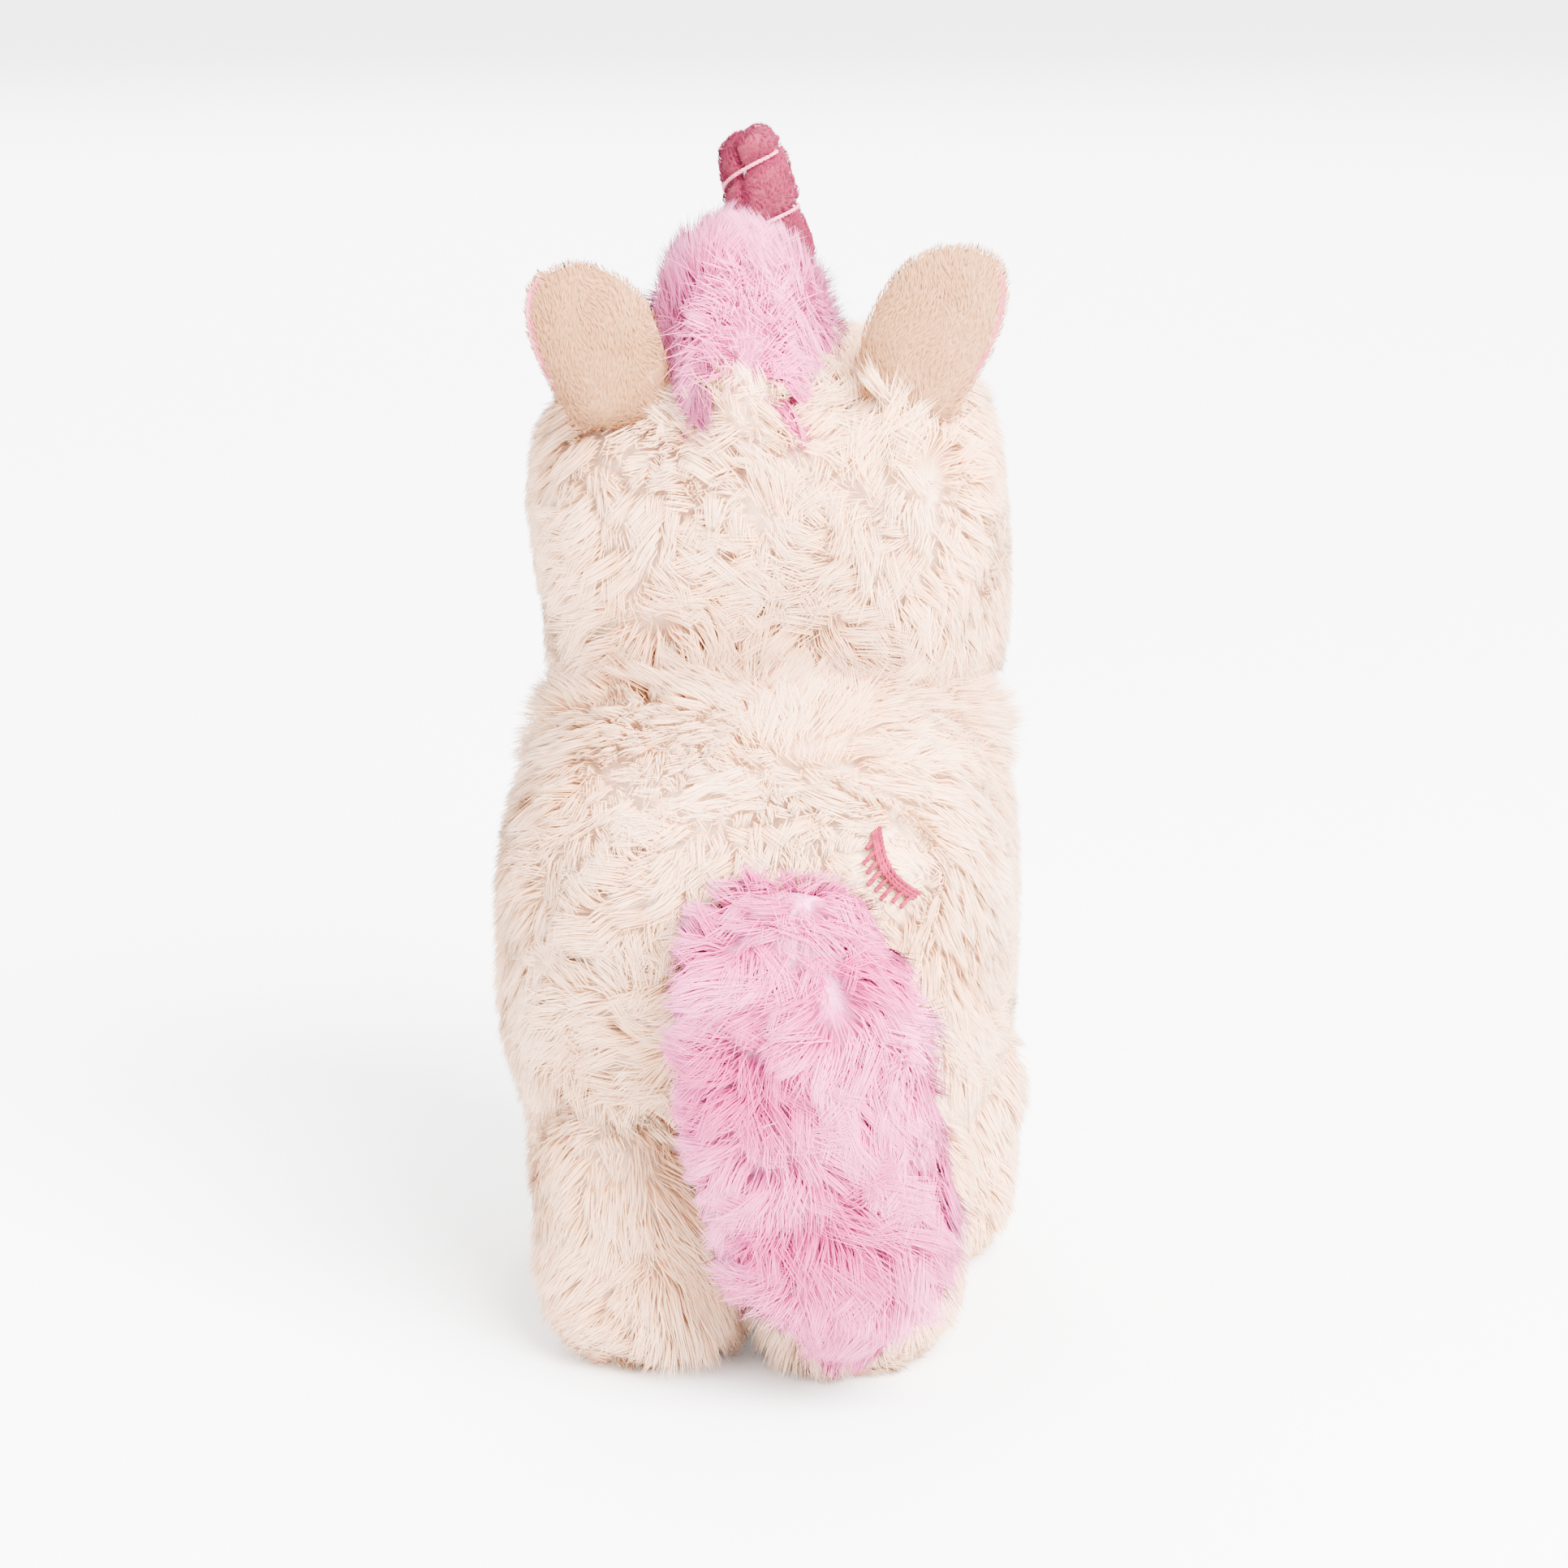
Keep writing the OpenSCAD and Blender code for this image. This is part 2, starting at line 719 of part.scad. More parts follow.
module tail_filling() {
    color(fill_white) tail_form(tail_skin_t, limb_fill_sides);
}

// ---- nodes -----------------------------------------------------------------------

module placed() {
    translate([0, origin_back, 0]) children();
}

placed() body_skin();
placed() body_filling();
placed() belly_closing_stitch();
placed() wing_embroidery();
placed() head_skin();
placed() head_filling();
placed() muzzle_skin();
placed() muzzle_filling();
placed() nose_and_mouth_stitching();
placed() eye(left);  // eye_left
placed() eye(right);  // eye_right
placed() eye_washer(left);  // eye_washer_left
placed() eye_washer(right);  // eye_washer_right
placed() mane();
placed() horn_cover();
placed() horn_filling();
placed() horn_spiral_thread();
placed() ear_back(left);  // ear_back_left
placed() ear_lining(left);  // ear_lining_left
placed() ear_back(right);  // ear_back_right
placed() ear_lining(right);  // ear_lining_right
placed() leg_skin(left, front_leg);  // front_leg_skin_left
placed() leg_filling(left, front_leg);  // front_leg_filling_left
placed() foot_sole(left, front_leg);  // front_foot_sole_left
placed() leg_skin(right, front_leg);  // front_leg_skin_right
placed() leg_filling(right, front_leg);  // front_leg_filling_right
placed() foot_sole(right, front_leg);  // front_foot_sole_right
placed() leg_skin(left, hind_leg);  // hind_leg_skin_left
placed() leg_filling(left, hind_leg);  // hind_leg_filling_left
placed() foot_sole(left, hind_leg);  // hind_foot_sole_left
placed() leg_skin(right, hind_leg);  // hind_leg_skin_right
placed() leg_filling(right, hind_leg);  // hind_leg_filling_right
placed() foot_sole(right, hind_leg);  // hind_foot_sole_right
placed() tail_skin();
placed() tail_filling();
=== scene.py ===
# %% [markdown]
# # A small plush unicorn in Blender
# The CAD model is the fixed frame: it says where every piece is and how it moves. This
# lesson dresses that frame. The long pile that hides every seam is the main work, so one
# helper grows it, and each skin then only says how its pile lies.

# %% Load the frame
import math
import bpy
import numpy as np
from mathutils import Matrix, Vector
from mathutils.kdtree import KDTree


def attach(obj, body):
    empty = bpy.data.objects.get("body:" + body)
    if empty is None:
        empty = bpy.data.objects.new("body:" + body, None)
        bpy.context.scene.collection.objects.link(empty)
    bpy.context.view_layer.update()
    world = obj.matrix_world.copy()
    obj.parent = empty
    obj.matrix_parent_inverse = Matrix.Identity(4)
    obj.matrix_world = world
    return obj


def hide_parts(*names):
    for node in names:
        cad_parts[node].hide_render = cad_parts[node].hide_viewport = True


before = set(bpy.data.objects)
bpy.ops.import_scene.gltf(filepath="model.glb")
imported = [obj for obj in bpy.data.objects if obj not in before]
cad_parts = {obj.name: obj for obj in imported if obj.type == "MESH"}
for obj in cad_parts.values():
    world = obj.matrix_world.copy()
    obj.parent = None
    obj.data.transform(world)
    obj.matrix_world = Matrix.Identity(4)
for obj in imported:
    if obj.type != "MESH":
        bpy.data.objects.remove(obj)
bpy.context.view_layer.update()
MM = 0.001

# %% [markdown]
# ## Camera, floor and light
# The photograph is taken from behind, a little above the toy and from a little to its
# left, with a long lens. A camera is placed by its azimuth, its elevation and its distance
# from a point at the toy's middle, so each of the three can be corrected alone.

# %% Camera
azimuth, elevation, distance = math.radians(184), math.radians(13), 0.8
target = Vector((-3.6, 0, 90)) * MM
back = Vector((math.sin(azimuth) * math.cos(elevation),
               -math.cos(azimuth) * math.cos(elevation), math.sin(elevation)))
lens = bpy.data.cameras.new("photo_lens")
lens.lens, lens.sensor_width, lens.clip_end = 108.8, 36, 30
camera = bpy.data.objects.new("photo_camera", lens)
bpy.context.scene.collection.objects.link(camera)
camera.location = target + back * distance
camera.rotation_euler = back.to_track_quat("Z", "Y").to_euler()
bpy.context.scene.camera = camera
print("camera at", [round(v, 3) for v in camera.location])

# %% [markdown]
# ## Colours and nodes
# Paint shops and photographs give colours as sRGB hex, and shaders want linear light, so
# one function turns one into the other. Small functions add a node, set it and link it,
# and every material below is written with them.

# %% Colour and node helpers
def linear(hex_colour):
    parts = [int(hex_colour[i:i + 2], 16) / 255 for i in (1, 3, 5)]
    return [c / 12.92 if c <= 0.04045 else ((c + 0.055) / 1.055) ** 2.4 for c in parts] + [1]


def node(material, kind, inputs=None, **settings):
    """Adds a node. An input is a value, or a (node, output name) pair to link."""
    tree = material.node_tree
    made = tree.nodes.new("ShaderNode" + kind)
    for key, value in settings.items():
        setattr(made, key, value)
    for key, value in (inputs or {}).items():
        if isinstance(value, tuple) and isinstance(value[0], bpy.types.Node):
            tree.links.new(value[0].outputs[value[1]], made.inputs[key])
        else:
            made.inputs[key].default_value = value
    return made


def ramp(material, source, stops, mode="EASE"):
    made = node(material, "ValToRGB", {"Fac": source})
    made.color_ramp.interpolation = mode
    elements = made.color_ramp.elements
    while len(elements) < len(stops):
        elements.new(0.5)
    for element, (place, colour) in zip(elements, stops):
        element.position = place
        element.color = linear(colour) if isinstance(colour, str) else (colour,) * 3 + (1,)
    return made


def fresh(name, **sockets):
    """A new material with one Principled shader, whose even values are set on its sockets."""
    material = bpy.data.materials.new(name)
    material.use_nodes = True
    shader = material.node_tree.nodes["Principled BSDF"]
    for key, value in sockets.items():
        shader.inputs[key.replace("_", " ")].default_value = value
    return material, shader


def link(material, source, output, shader, socket):
    material.node_tree.links.new(source.outputs[output], shader.inputs[socket])


def texture(material, kind, scale, **inputs):
    """A texture node that is laid over the object in metres."""
    place = node(material, "TexCoord")
    inputs = {key.replace("_", " "): value for key, value in inputs.items()}
    return node(material, kind, {"Vector": (place, "Object"), "Scale": scale, **inputs})


def surface(material, shader, tint, height, strength, depth):
    """Links a colour, and a bump made from a height, to the shader. depth is in metres."""
    bump = node(material, "Bump", {"Height": height, "Strength": strength, "Distance": depth})
    link(material, *tint, shader, "Base Color")
    link(material, bump, "Normal", shader, "Normal")

# %% Floor
def leave_edit_mode(made, inside):
    """Turns all faces one way, inwards or outwards, and shades them smooth."""
    bpy.ops.mesh.select_all(action="SELECT")
    bpy.ops.mesh.normals_make_consistent(inside=inside)
    bpy.ops.object.mode_set(mode="OBJECT")
    made.data.shade_smooth()


bpy.ops.object.select_all(action="DESELECT")
bpy.ops.mesh.primitive_circle_add(vertices=96, radius=5, fill_type="NGON")
floor = bpy.context.object
floor.name = "studio_floor"
bpy.ops.object.mode_set(mode="EDIT")
bpy.ops.mesh.select_mode(type="EDGE")
for rise, wider in ((0.1, 1.15), (0.35, 1.12), (0.9, 1.08), (1.6, 1.04)):
    bpy.ops.mesh.extrude_edges_move(TRANSFORM_OT_translate={"value": (0, 0, rise)})
    bpy.ops.transform.resize(value=(wider, wider, 1), center_override=(0, 0, 0))
leave_edit_mode(floor, inside=True)
paper, paper_shader = fresh("matt_paper_sweep", Roughness=0.9)
grain = texture(paper, "TexNoise", 900.0)
tint = ramp(paper, (grain, "Fac"), [(0.3, "#F7F7F7"), (0.7, "#FBFBFB")])
link(paper, tint, "Color", paper_shader, "Base Color")
floor.data.materials.append(paper)
print("floor and its curved rim:", [round(v, 2) for v in floor.dimensions])

# %% Light
def softbox(name, place, size, watts):
    lamp = bpy.data.lights.new(name, "AREA")
    lamp.shape, lamp.size, lamp.energy = "SQUARE", size, watts
    holder = bpy.data.objects.new(name, lamp)
    bpy.context.scene.collection.objects.link(holder)
    holder.location = place
    holder.rotation_euler = (Vector(place) - target).to_track_quat("Z", "Y").to_euler()


softbox("key_softbox", (-1.2, 1.6, 1.6), 1.6, 720)
softbox("fill_softbox", (1.6, 1.2, 1.0), 1.6, 30)
softbox("front_softbox", (0.3, -2.0, 1.4), 1.6, 105)
sky = bpy.data.worlds.new("white_studio")
sky.use_nodes = True
sky.node_tree.nodes["Background"].inputs["Color"].default_value = linear("#FFFFFF")
sky.node_tree.nodes["Background"].inputs["Strength"].default_value = 4.05
bpy.context.scene.world = sky

# %% [markdown]
# ## Pads: the stuffed forms under the pile
# A stuffed skin is a ball that its filling pushes out into the pattern's shape. Each pad
# starts as a sphere primitive whose points are moved onto the form that the CAD skin has,
# a few millimetres below it, so the pile can rise to the skin and past it.

# %% Pads from a ball
def ball(name, across=64, around=40):
    bpy.ops.object.select_all(action="DESELECT")
    bpy.ops.mesh.primitive_uv_sphere_add(segments=across, ring_count=around, radius=1)
    made = bpy.context.object
    made.name = name
    made.data.name = name
    put_in_order(made)
    return made, points_of(made)


def points_of(made):
    flat = np.empty(len(made.data.vertices) * 3)
    made.data.vertices.foreach_get("co", flat)
    return flat.reshape(-1, 3)


def put_in_order(made):
    """The operator lists its points and faces in another order each run. The pile is placed
    face by face, so both are put in one order, by place."""
    places = points_of(made).round(6)
    order = np.lexsort(places.round(4).T)
    rank = np.argsort(order)
    faces = []
    for face in made.data.polygons:
        corners = [int(rank[v]) for v in face.vertices]
        first = corners.index(min(corners))
        faces.append(corners[first:] + corners[:first])
    made.data.clear_geometry()
    made.data.from_pydata(places[order], [], sorted(faces))
    made.data.update()


def shape(made, places):
    """Moves a mesh's points to places in millimetres."""
    made.data.vertices.foreach_set("co", (places * MM).ravel())
    made.data.update()
    made.data.shade_smooth()
    return made


def print_box(made):
    places = points_of(made)
    print(made.name, "box:", places.min(0).round(4), places.max(0).round(4))


def turn(x=0, y=0, z=0):
    """The matrix that turns about X, then Y, then Z, in degrees."""
    made = Matrix.Identity(3)
    for angle, axis in ((x, "X"), (y, "Y"), (z, "Z")):
        made = Matrix.Rotation(math.radians(angle), 3, axis) @ made
    return np.array(made)


# Middles and half sizes of the CAD forms in millimetres. A power near 2 is a round form, and
# a higher one is fuller at its corners.
HEAD_MIDDLE = np.array([0, -23, 129])
HEAD_TILT = turn(y=3)
HEAD_HALF_WIDTH, HEAD_RADIUS, HEAD_FULL = 39.5, 33, 3.8
MUZZLE = np.array([0, -29, -9])
MUZZLE_HALF_WIDTH, MUZZLE_HALF_LENGTH, MUZZLE_HALF_HEIGHT = 21, 20, 16
BODY_MIDDLE = np.array([0, 3, 67])
BODY_HALF_WIDTH, BODY_HALF_LENGTH, BACK_RISE, BELLY_DROP = 42, 51, 43, 38
BODY_FULL, LENGTH_FULL, BACK_SLOPE = 3.3, 2.6, 0.1
RUMP_RISE = BACK_RISE * 0.92


def rolled(places):
    """From the head's own frame to the toy's: tilted about its middle."""
    return places @ HEAD_TILT.T + HEAD_MIDDLE


def in_head_frame(places):
    return (places - HEAD_MIDDLE) @ HEAD_TILT


def part(values):
    """Holds values between 0 and 1."""
    return np.clip(values, 0, 1)


def near(places, point, start, end):
    """1 within start millimetres of a point, 0 beyond end."""
    t = part((end - np.linalg.norm(places - point, axis=1)) / (end - start))
    return t * t * (3 - 2 * t)

# %% The forms, as how far they reach in a direction
def body_level(places, inset=0):
    """1 on the body's outline, less inside it and more outside."""
    p = np.abs(places - BODY_MIDDLE)
    length = BODY_HALF_LENGTH - inset
    y = np.clip((places - BODY_MIDDLE)[:, 1] / length, -1, 1)
    above = (places - BODY_MIDDLE)[:, 2] > 0
    tall = np.where(above, BACK_RISE * (1 - BACK_SLOPE * y), BELLY_DROP) - inset
    ring = (p[:, 0] / (BODY_HALF_WIDTH - inset)) ** BODY_FULL + (p[:, 2] / tall) ** BODY_FULL
    across = ring ** (LENGTH_FULL / BODY_FULL)
    return (across + (p[:, 1] / length) ** LENGTH_FULL) ** (1 / LENGTH_FULL)


def head_level(places, inset=0):
    p = in_head_frame(places)
    wheel = np.hypot(p[:, 1], p[:, 2]) / (HEAD_RADIUS - inset)
    along = np.abs(p[:, 0] / (HEAD_HALF_WIDTH - inset))
    return (along ** HEAD_FULL + wheel ** HEAD_FULL) ** (1 / HEAD_FULL)


def muzzle_level(places, inset=0):
    half = np.array([MUZZLE_HALF_WIDTH, MUZZLE_HALF_LENGTH, MUZZLE_HALF_HEIGHT]) - inset
    return np.linalg.norm((in_head_frame(places) - MUZZLE) / half, axis=1)


def fit_to(level, directions, middle, inset, raised=()):
    """Each direction's point where the form's level is 1, less deep round sewn-on things."""
    reach = np.full(len(directions), 30.0)
    for _ in range(6):
        reach = reach / level(middle + directions * reach[:, None], inset)
    places = middle + directions * reach[:, None]
    for place, start, end in raised:
        places = places + directions * (inset - 0.8) * near(places, place, start, end)[:, None]
    return places


print("body reaches", fit_to(body_level, np.eye(3), BODY_MIDDLE, 0).round(1).tolist())

# %% [markdown]
# ## Pile
# Faux fur is thousands of fibres, each fixed in the backing and free at its tip. They lie
# the way they were brushed, lean together in tufts and wave a little. Every fibre here is a
# three-sided spindle of six triangles. Hair curves would not reach the exported model,
# so the fibres are meshes, a few panels to a skin.

# %% Places and directions for pile
def scatter(pad, count, seed):
    """Even random places on a pad: points in millimetres and normals."""
    mesh = pad.data
    mesh.calc_loop_triangles()
    corners = np.empty(len(mesh.loop_triangles) * 3, int)
    mesh.loop_triangles.foreach_get("vertices", corners)
    corners = corners.reshape(-1, 3)
    normals = np.empty(len(mesh.vertices) * 3)
    mesh.vertex_normals.foreach_get("vector", normals)
    p, n = points_of(pad)[corners] / MM, normals.reshape(-1, 3)[corners]
    area = np.linalg.norm(np.cross(p[:, 1] - p[:, 0], p[:, 2] - p[:, 0]), axis=1)
    total = np.cumsum(area)
    dice = np.random.default_rng(seed)
    pick = np.searchsorted(total, (np.arange(count) + dice.random(count)) / count * total[-1])
    pick = np.minimum(pick, len(total) - 1)
    u, v = dice.random(count), dice.random(count)
    over = u + v > 1
    u[over], v[over] = 1 - u[over], 1 - v[over]
    share = np.stack([1 - u - v, u, v], 1)[:, :, None]
    return (p[pick] * share).sum(1), unit((n[pick] * share).sum(1))


def unit(v):
    return v / np.maximum(np.linalg.norm(v, axis=-1, keepdims=True), 1e-9)


def drift(places, wave, seed, terms=7):
    """Smooth random vectors over space, whose pattern repeats over about a wave."""
    dice = np.random.default_rng(seed)
    k = unit(dice.normal(size=(terms, 3))) * 2 * math.pi
    k = k / (wave * dice.uniform(0.7, 1.5, (terms, 1)))
    lean = dice.normal(size=(terms, 3))
    return np.sin(places @ k.T + dice.uniform(0, 6.28, terms)) @ lean * math.sqrt(2 / terms)

# %% Curves of the fibres
def lay(p, n, flow, length, lift, stand):
    """Four points on each fibre, which leaves the skin at lift[0] degrees and ends at lift[1].
    stand is 1 where the fibres are upright all the same."""
    along = unit(flow - (flow * n).sum(1, keepdims=True) * n)
    points = [p]
    for k in range(3):
        rise = lift[0] + (lift[1] - lift[0]) * k / 2
        rise = np.radians(rise + (80 - rise) * stand)[:, None]
        step = along * np.cos(rise) + n * np.sin(rise)
        points.append(points[-1] + step * length[:, None] / 3)
    return np.stack(points, 1), np.cross(n, along)


def nearest(places, roots):
    """The number and the distance of the nearest root to each place."""
    tree = KDTree(len(roots))
    for i, root in enumerate(roots):
        tree.insert(root, i)
    tree.balance()
    found = [tree.find(place)[1:] for place in places]
    return np.array([i for i, _ in found]), np.array([far for _, far in found])


def gathered(points, leaders, leader_sides, pull, spread, waviness, dice):
    """Draws every fibre towards the nearest leader, most at its tip, and waves it."""
    leader = nearest(points[:, 0], leaders[:, 0])[0]
    lead = leaders[leader]
    stay = (points[:, :1] - lead[:, :1]) * spread
    loose = pull * np.where(dice.random(len(points)) < 0.25, 0.35, 1)
    share = (np.array([0, 0.3, 0.7, 1]) * loose[:, None])[:, :, None]
    drawn = points * (1 - share) + (lead + stay) * share
    phase = dice.uniform(0, 6.28, len(leaders))[leader][:, None]
    swing = np.sin(phase + np.array([0, 1.9, 3.8, 5.7])) * np.array([0, 0.5, 0.9, 1.2]) * waviness
    return drawn + leader_sides[leader][:, None] * swing[:, :, None], leader

# %% Meshes of the fibres
RING = np.radians([0, 120, 240])
TRIANGLES = np.array([(0, 2, 1), (0, 3, 2), (0, 1, 3), (1, 2, 4), (2, 3, 4), (3, 1, 4)])
WAY_TO_TIP = np.array([0, 0.5, 0.5, 0.5, 1])
TONE_STEP = np.array([0, -0.02, 0, 0.02, 0])


def fibre_corners(points, skin, radius, dice):
    """Spindles round the fibres: a root, a ring of three points and a tip."""
    corners = np.empty((len(points), 5, 3))
    normals = np.empty_like(corners)
    corners[:, 0], corners[:, 4] = points[:, 0], points[:, 3]
    normals[:, 0] = normals[:, 4] = skin
    twist = dice.uniform(0, 6.28, len(points))[:, None] + RING
    axis = unit(points[:, 3] - points[:, 0])
    one = unit(np.cross(axis, skin))
    two = np.cross(axis, one)
    out = np.cos(twist)[:, :, None] * one[:, None] + np.sin(twist)[:, :, None] * two[:, None]
    middle = (points[:, 1] + points[:, 2]) / 2
    corners[:, 1:4] = middle[:, None] + out * radius[:, None, None]
    normals[:, 1:4] = unit(out * 0.4 + skin[:, None])
    return corners, normals


def fibre_mesh(name, points, skin, tone, radius, dice):
    """One mesh of all the fibres. Its UV map holds the way to the tip and the tone."""
    corners, normals = fibre_corners(points, skin, radius, dice)
    count, each = corners.shape[:2]
    start = (np.arange(count) * each)[:, None, None]
    ring = (start + TRIANGLES).ravel().astype(np.int32)
    mesh = bpy.data.meshes.new(name)
    mesh.vertices.add(count * each)
    mesh.vertices.foreach_set("co", (corners * MM).ravel())
    mesh.loops.add(len(ring))
    mesh.loops.foreach_set("vertex_index", ring)
    starts = np.arange(0, len(ring), 3)
    mesh.polygons.add(len(starts))
    mesh.polygons.foreach_set("loop_start", starts.astype(np.int32))
    u = np.broadcast_to(WAY_TO_TIP, (count, each))
    v = tone[:, None] + TONE_STEP
    held = np.stack([u, np.clip(v, 0.005, 0.995)], 2).reshape(-1, 2)
    uv = mesh.uv_layers.new(name="OFBake")
    uv.data.foreach_set("uv", held[ring].astype(np.float32).ravel())
    mesh.update(calc_edges=True)
    mesh.shade_smooth()
    mesh.normals_split_custom_set_from_vertices(normals.reshape(-1, 3))
    return mesh

# %% Growing the pile of one skin
THIN = 1.0


def grow(name, pad, body, material, each, length, flow, lift, radius=0.13, keep=None,
         size=None, tufts=(26, 240), pull=(0.6, 0.6), waviness=0.5, shade=None,
         panels=None, stand=None, painted_crevice_shade=0.42, seed=1):
    """Covers a pad with pile: each is fibres per square millimetre, length in millimetres.
    tufts is how many fibres gather in a small tuft and in a large one, pull how strongly,
    and the argument before seed how much painted shade darkens the pile between the large
    ones, where the tufts shade each other."""
    dice = np.random.default_rng(seed)
    area = sum(f.area for f in pad.data.polygons) / MM ** 2
    count = int(area * each * THIN)
    radius = radius / math.sqrt(THIN)

    def fibres(number, salt):
        p, n = scatter(pad, number, seed + salt)
        if keep is not None:
            stays = keep(p)
            p, n = p[stays], n[stays]
        long = length * dice.uniform(0.75, 1.15, len(p)) * (size(p) if size else 1)
        way = flow(p) + (0.16 if salt == 0 else 0.3) * dice.normal(size=p.shape)
        curve, side = lay(p, n, way, long, lift, stand(p) if stand else np.zeros(len(p)))
        return p, n, curve, side

    p, n, curve, _ = fibres(count, 0)
    _, _, big, big_side = fibres(max(8, int(count / THIN / tufts[1])), 1)
    _, _, small, small_side = fibres(max(8, int(count / THIN / tufts[0])), 2)
    small, _ = gathered(small, big, big_side, pull[1], 0.5, waviness * 1.5, dice)
    curve, leader = gathered(curve, small, small_side, pull[0], 0.35, waviness, dice)
    # Painted shade: fibres rooted far from their large tuft's middle, in the crevices between
    # tufts, get a darker tone.
    rim = nearest(p, big[:, 0])[1] / math.sqrt(tufts[1] / each)
    curve[:, 1:, 2] = np.maximum(curve[:, 1:, 2], 0.25 + 0.3 * dice.random((len(p), 1)))
    tone = 0.51 + painted_crevice_shade * (0.5 - rim) + 0.07 * dice.normal(size=len(small))[leader]
    tone = tone + 0.08 * dice.normal(size=len(p))
    tone = np.clip(tone + (shade(p) if shade else 0), 0.03, 0.97)
    wide = radius * dice.uniform(0.7, 1.25, len(p))
    where = panels(p) if panels else np.zeros(len(p), int)
    for k in np.unique(where):
        here = where == k
        mesh = fibre_mesh(f"{name}_{k + 1}", curve[here], n[here], tone[here], wide[here], dice)
        mesh.materials.append(material)
        piece = bpy.data.objects.new(mesh.name, mesh)
        bpy.context.scene.collection.objects.link(piece)
        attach(piece, body)
    most = max(int((where == k).sum()) for k in np.unique(where)) * len(TRIANGLES)
    print(name, "fibres:", len(p), "most triangles in a panel:", most)

# %% [markdown]
# ## Materials of the pile
# The real thing is acrylic faux fur: dyed fibres, matt. Each colour ramp paints shade at the
# root, warmer and darker, and light at the tip, paler where the light gets in from all sides.
# Each fibre carries its own place in a UV map, from root to tip and from a dark tone to a
# light one, so one material serves all.

# %% Acrylic pile
def pile_material(name, dark, light):
    """dark and light are the root, middle and tip colours of the two tones."""
    material, shader = fresh(name, Specular_IOR_Level=0.1)
    held = node(material, "UVMap", uv_map="OFBake")
    split = node(material, "SeparateXYZ", {"Vector": (held, "UV")})
    # Painted shade and light: each ramp runs from a darker, warmer root, where the other fibres
    # shade it, to a paler tip.
    along = (0.05, 0.45, 0.9)
    deep, pale = (ramp(material, (split, "X"), list(zip(along, tone))) for tone in (dark, light))
    fleck = node(material, "TexNoise", {"Vector": (held, "UV"), "Scale": 45.0, "Detail": 3.0})
    drifted = node(material, "MapRange", {"Value": (fleck, "Fac"), "From Min": 0.3,
                                          "From Max": 0.7, "To Min": -0.12, "To Max": 0.12})
    total = node(material, "Math", {0: (split, "Y"), 1: (drifted, "Result")}, use_clamp=True)
    both = node(material, "Mix", {"Factor": (total, "Value"), "A": (deep, "Color"),
                                  "B": (pale, "Color")}, data_type="RGBA")
    dull = node(material, "MapRange", {"Value": (split, "X"), "To Min": 0.95, "To Max": 0.7})
    link(material, both, "Result", shader, "Base Color")
    link(material, dull, "Result", shader, "Roughness")
    return material


cream_pile = pile_material("cream_acrylic_long_pile", ("#C07849", "#D89669", "#E5B18A"),
                           ("#DC9E73", "#E9B892", "#F2CDB2"))
pink_pile = pile_material("pink_acrylic_long_pile", ("#8E0F4B", "#A82864", "#C14A80"),
                          ("#B4346E", "#CB5489", "#DD7CA7"))
print("pile materials:", cream_pile.name, pink_pile.name)

# %% Backing cloth under the pile
def backing_material(name, dark, light):
    """Warp-knitted backing: courses about 0.8 mm apart, seen only between the tufts."""
    material, shader = fresh(name, Roughness=0.95)
    knit = texture(material, "TexVoronoi", 1250.0)
    cloud = texture(material, "TexNoise", 160.0)
    tint = ramp(material, (cloud, "Fac"), [(0.35, dark), (0.65, light)])
    surface(material, shader, (tint, "Color"), (knit, "Distance"), 0.5, 0.0003)
    return material


cream_backing = backing_material("cream_knit_backing", "#CFAE94", "#DFC6B0")
pink_backing = backing_material("pink_knit_backing", "#D274A6", "#E091B9")


def finish_pad(pad, body, material, replaces):
    """Clothes a pad in its backing, hangs it on its body's empty and hides the CAD parts it stands
    for.
    """
    pad.data.materials.append(material)
    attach(pad, body)
    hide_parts(*replaces)

# %% [markdown]
# ## Legs
# Four short legs, each a ball at the hip and a foot with a blunt toe. The CAD rows of
# height, half width and half length are drawn through with a ball's own rings.

# %% Leg pads
LEGS = {"front_leg_left": (27, -22), "front_leg_right": (-27, -22),
        "hind_leg_left": (19.5, 31), "hind_leg_right": (-19.5, 31)}
HIP, KNOB, FOOT, TOE = 32, 16.5, 14.5, 18
PAD_INSET = 3.0
FAR = 9.0


def leg_rows(inset):
    """Height, half width and half length, from the sole to the top of the hip's ball."""
    knob, foot, toe = KNOB - inset, FOOT - inset, TOE - inset
    low = 0.4 * inset
    rows = [[low, 0, 0], [low, foot * 0.6, toe * 0.66], [low + 1.6, foot * 0.76, toe * 0.8],
            [inset + 4, foot * 0.92, toe * 0.93], [11, foot + 0.2, toe - 1],
            [17, (foot + knob) / 2, (toe + knob) / 2 - 0.8], [24, knob * 0.93, knob * 0.93]]
    for a in np.radians([-15, 0, 15, 30, 45, 60, 75, 90]):
        rows.append([HIP + knob * math.sin(a), knob * math.cos(a), knob * math.cos(a)])
    return np.array(rows)


def toe_shift(z):
    """How far the leg's middle moves forward towards the foot."""
    return 1.2 * part(1 - z / 24)


def drawn_through(sphere, rows):
    """Turns a unit sphere's heights into places along a table of rows, bottom to top."""
    step = np.linalg.norm(np.diff(rows[:, :3], axis=0), axis=1)
    way = np.concatenate([[0], np.cumsum(step)]) / step.sum()
    t = 1 - np.arccos(np.clip(sphere[:, 2], -1, 1)) / math.pi
    return [np.interp(t, way, rows[:, k]) for k in range(rows.shape[1])]


def leg_pad(name, place):
    pad, s = ball(name + "_pad", 48, 36)
    z, wide, long = drawn_through(s, leg_rows(PAD_INSET))
    a = np.arctan2(s[:, 1], s[:, 0])
    y = long * np.sin(a) - toe_shift(z)
    return shape(pad, np.stack([place[0] + wide * np.cos(a), place[1] + y, z], 1))


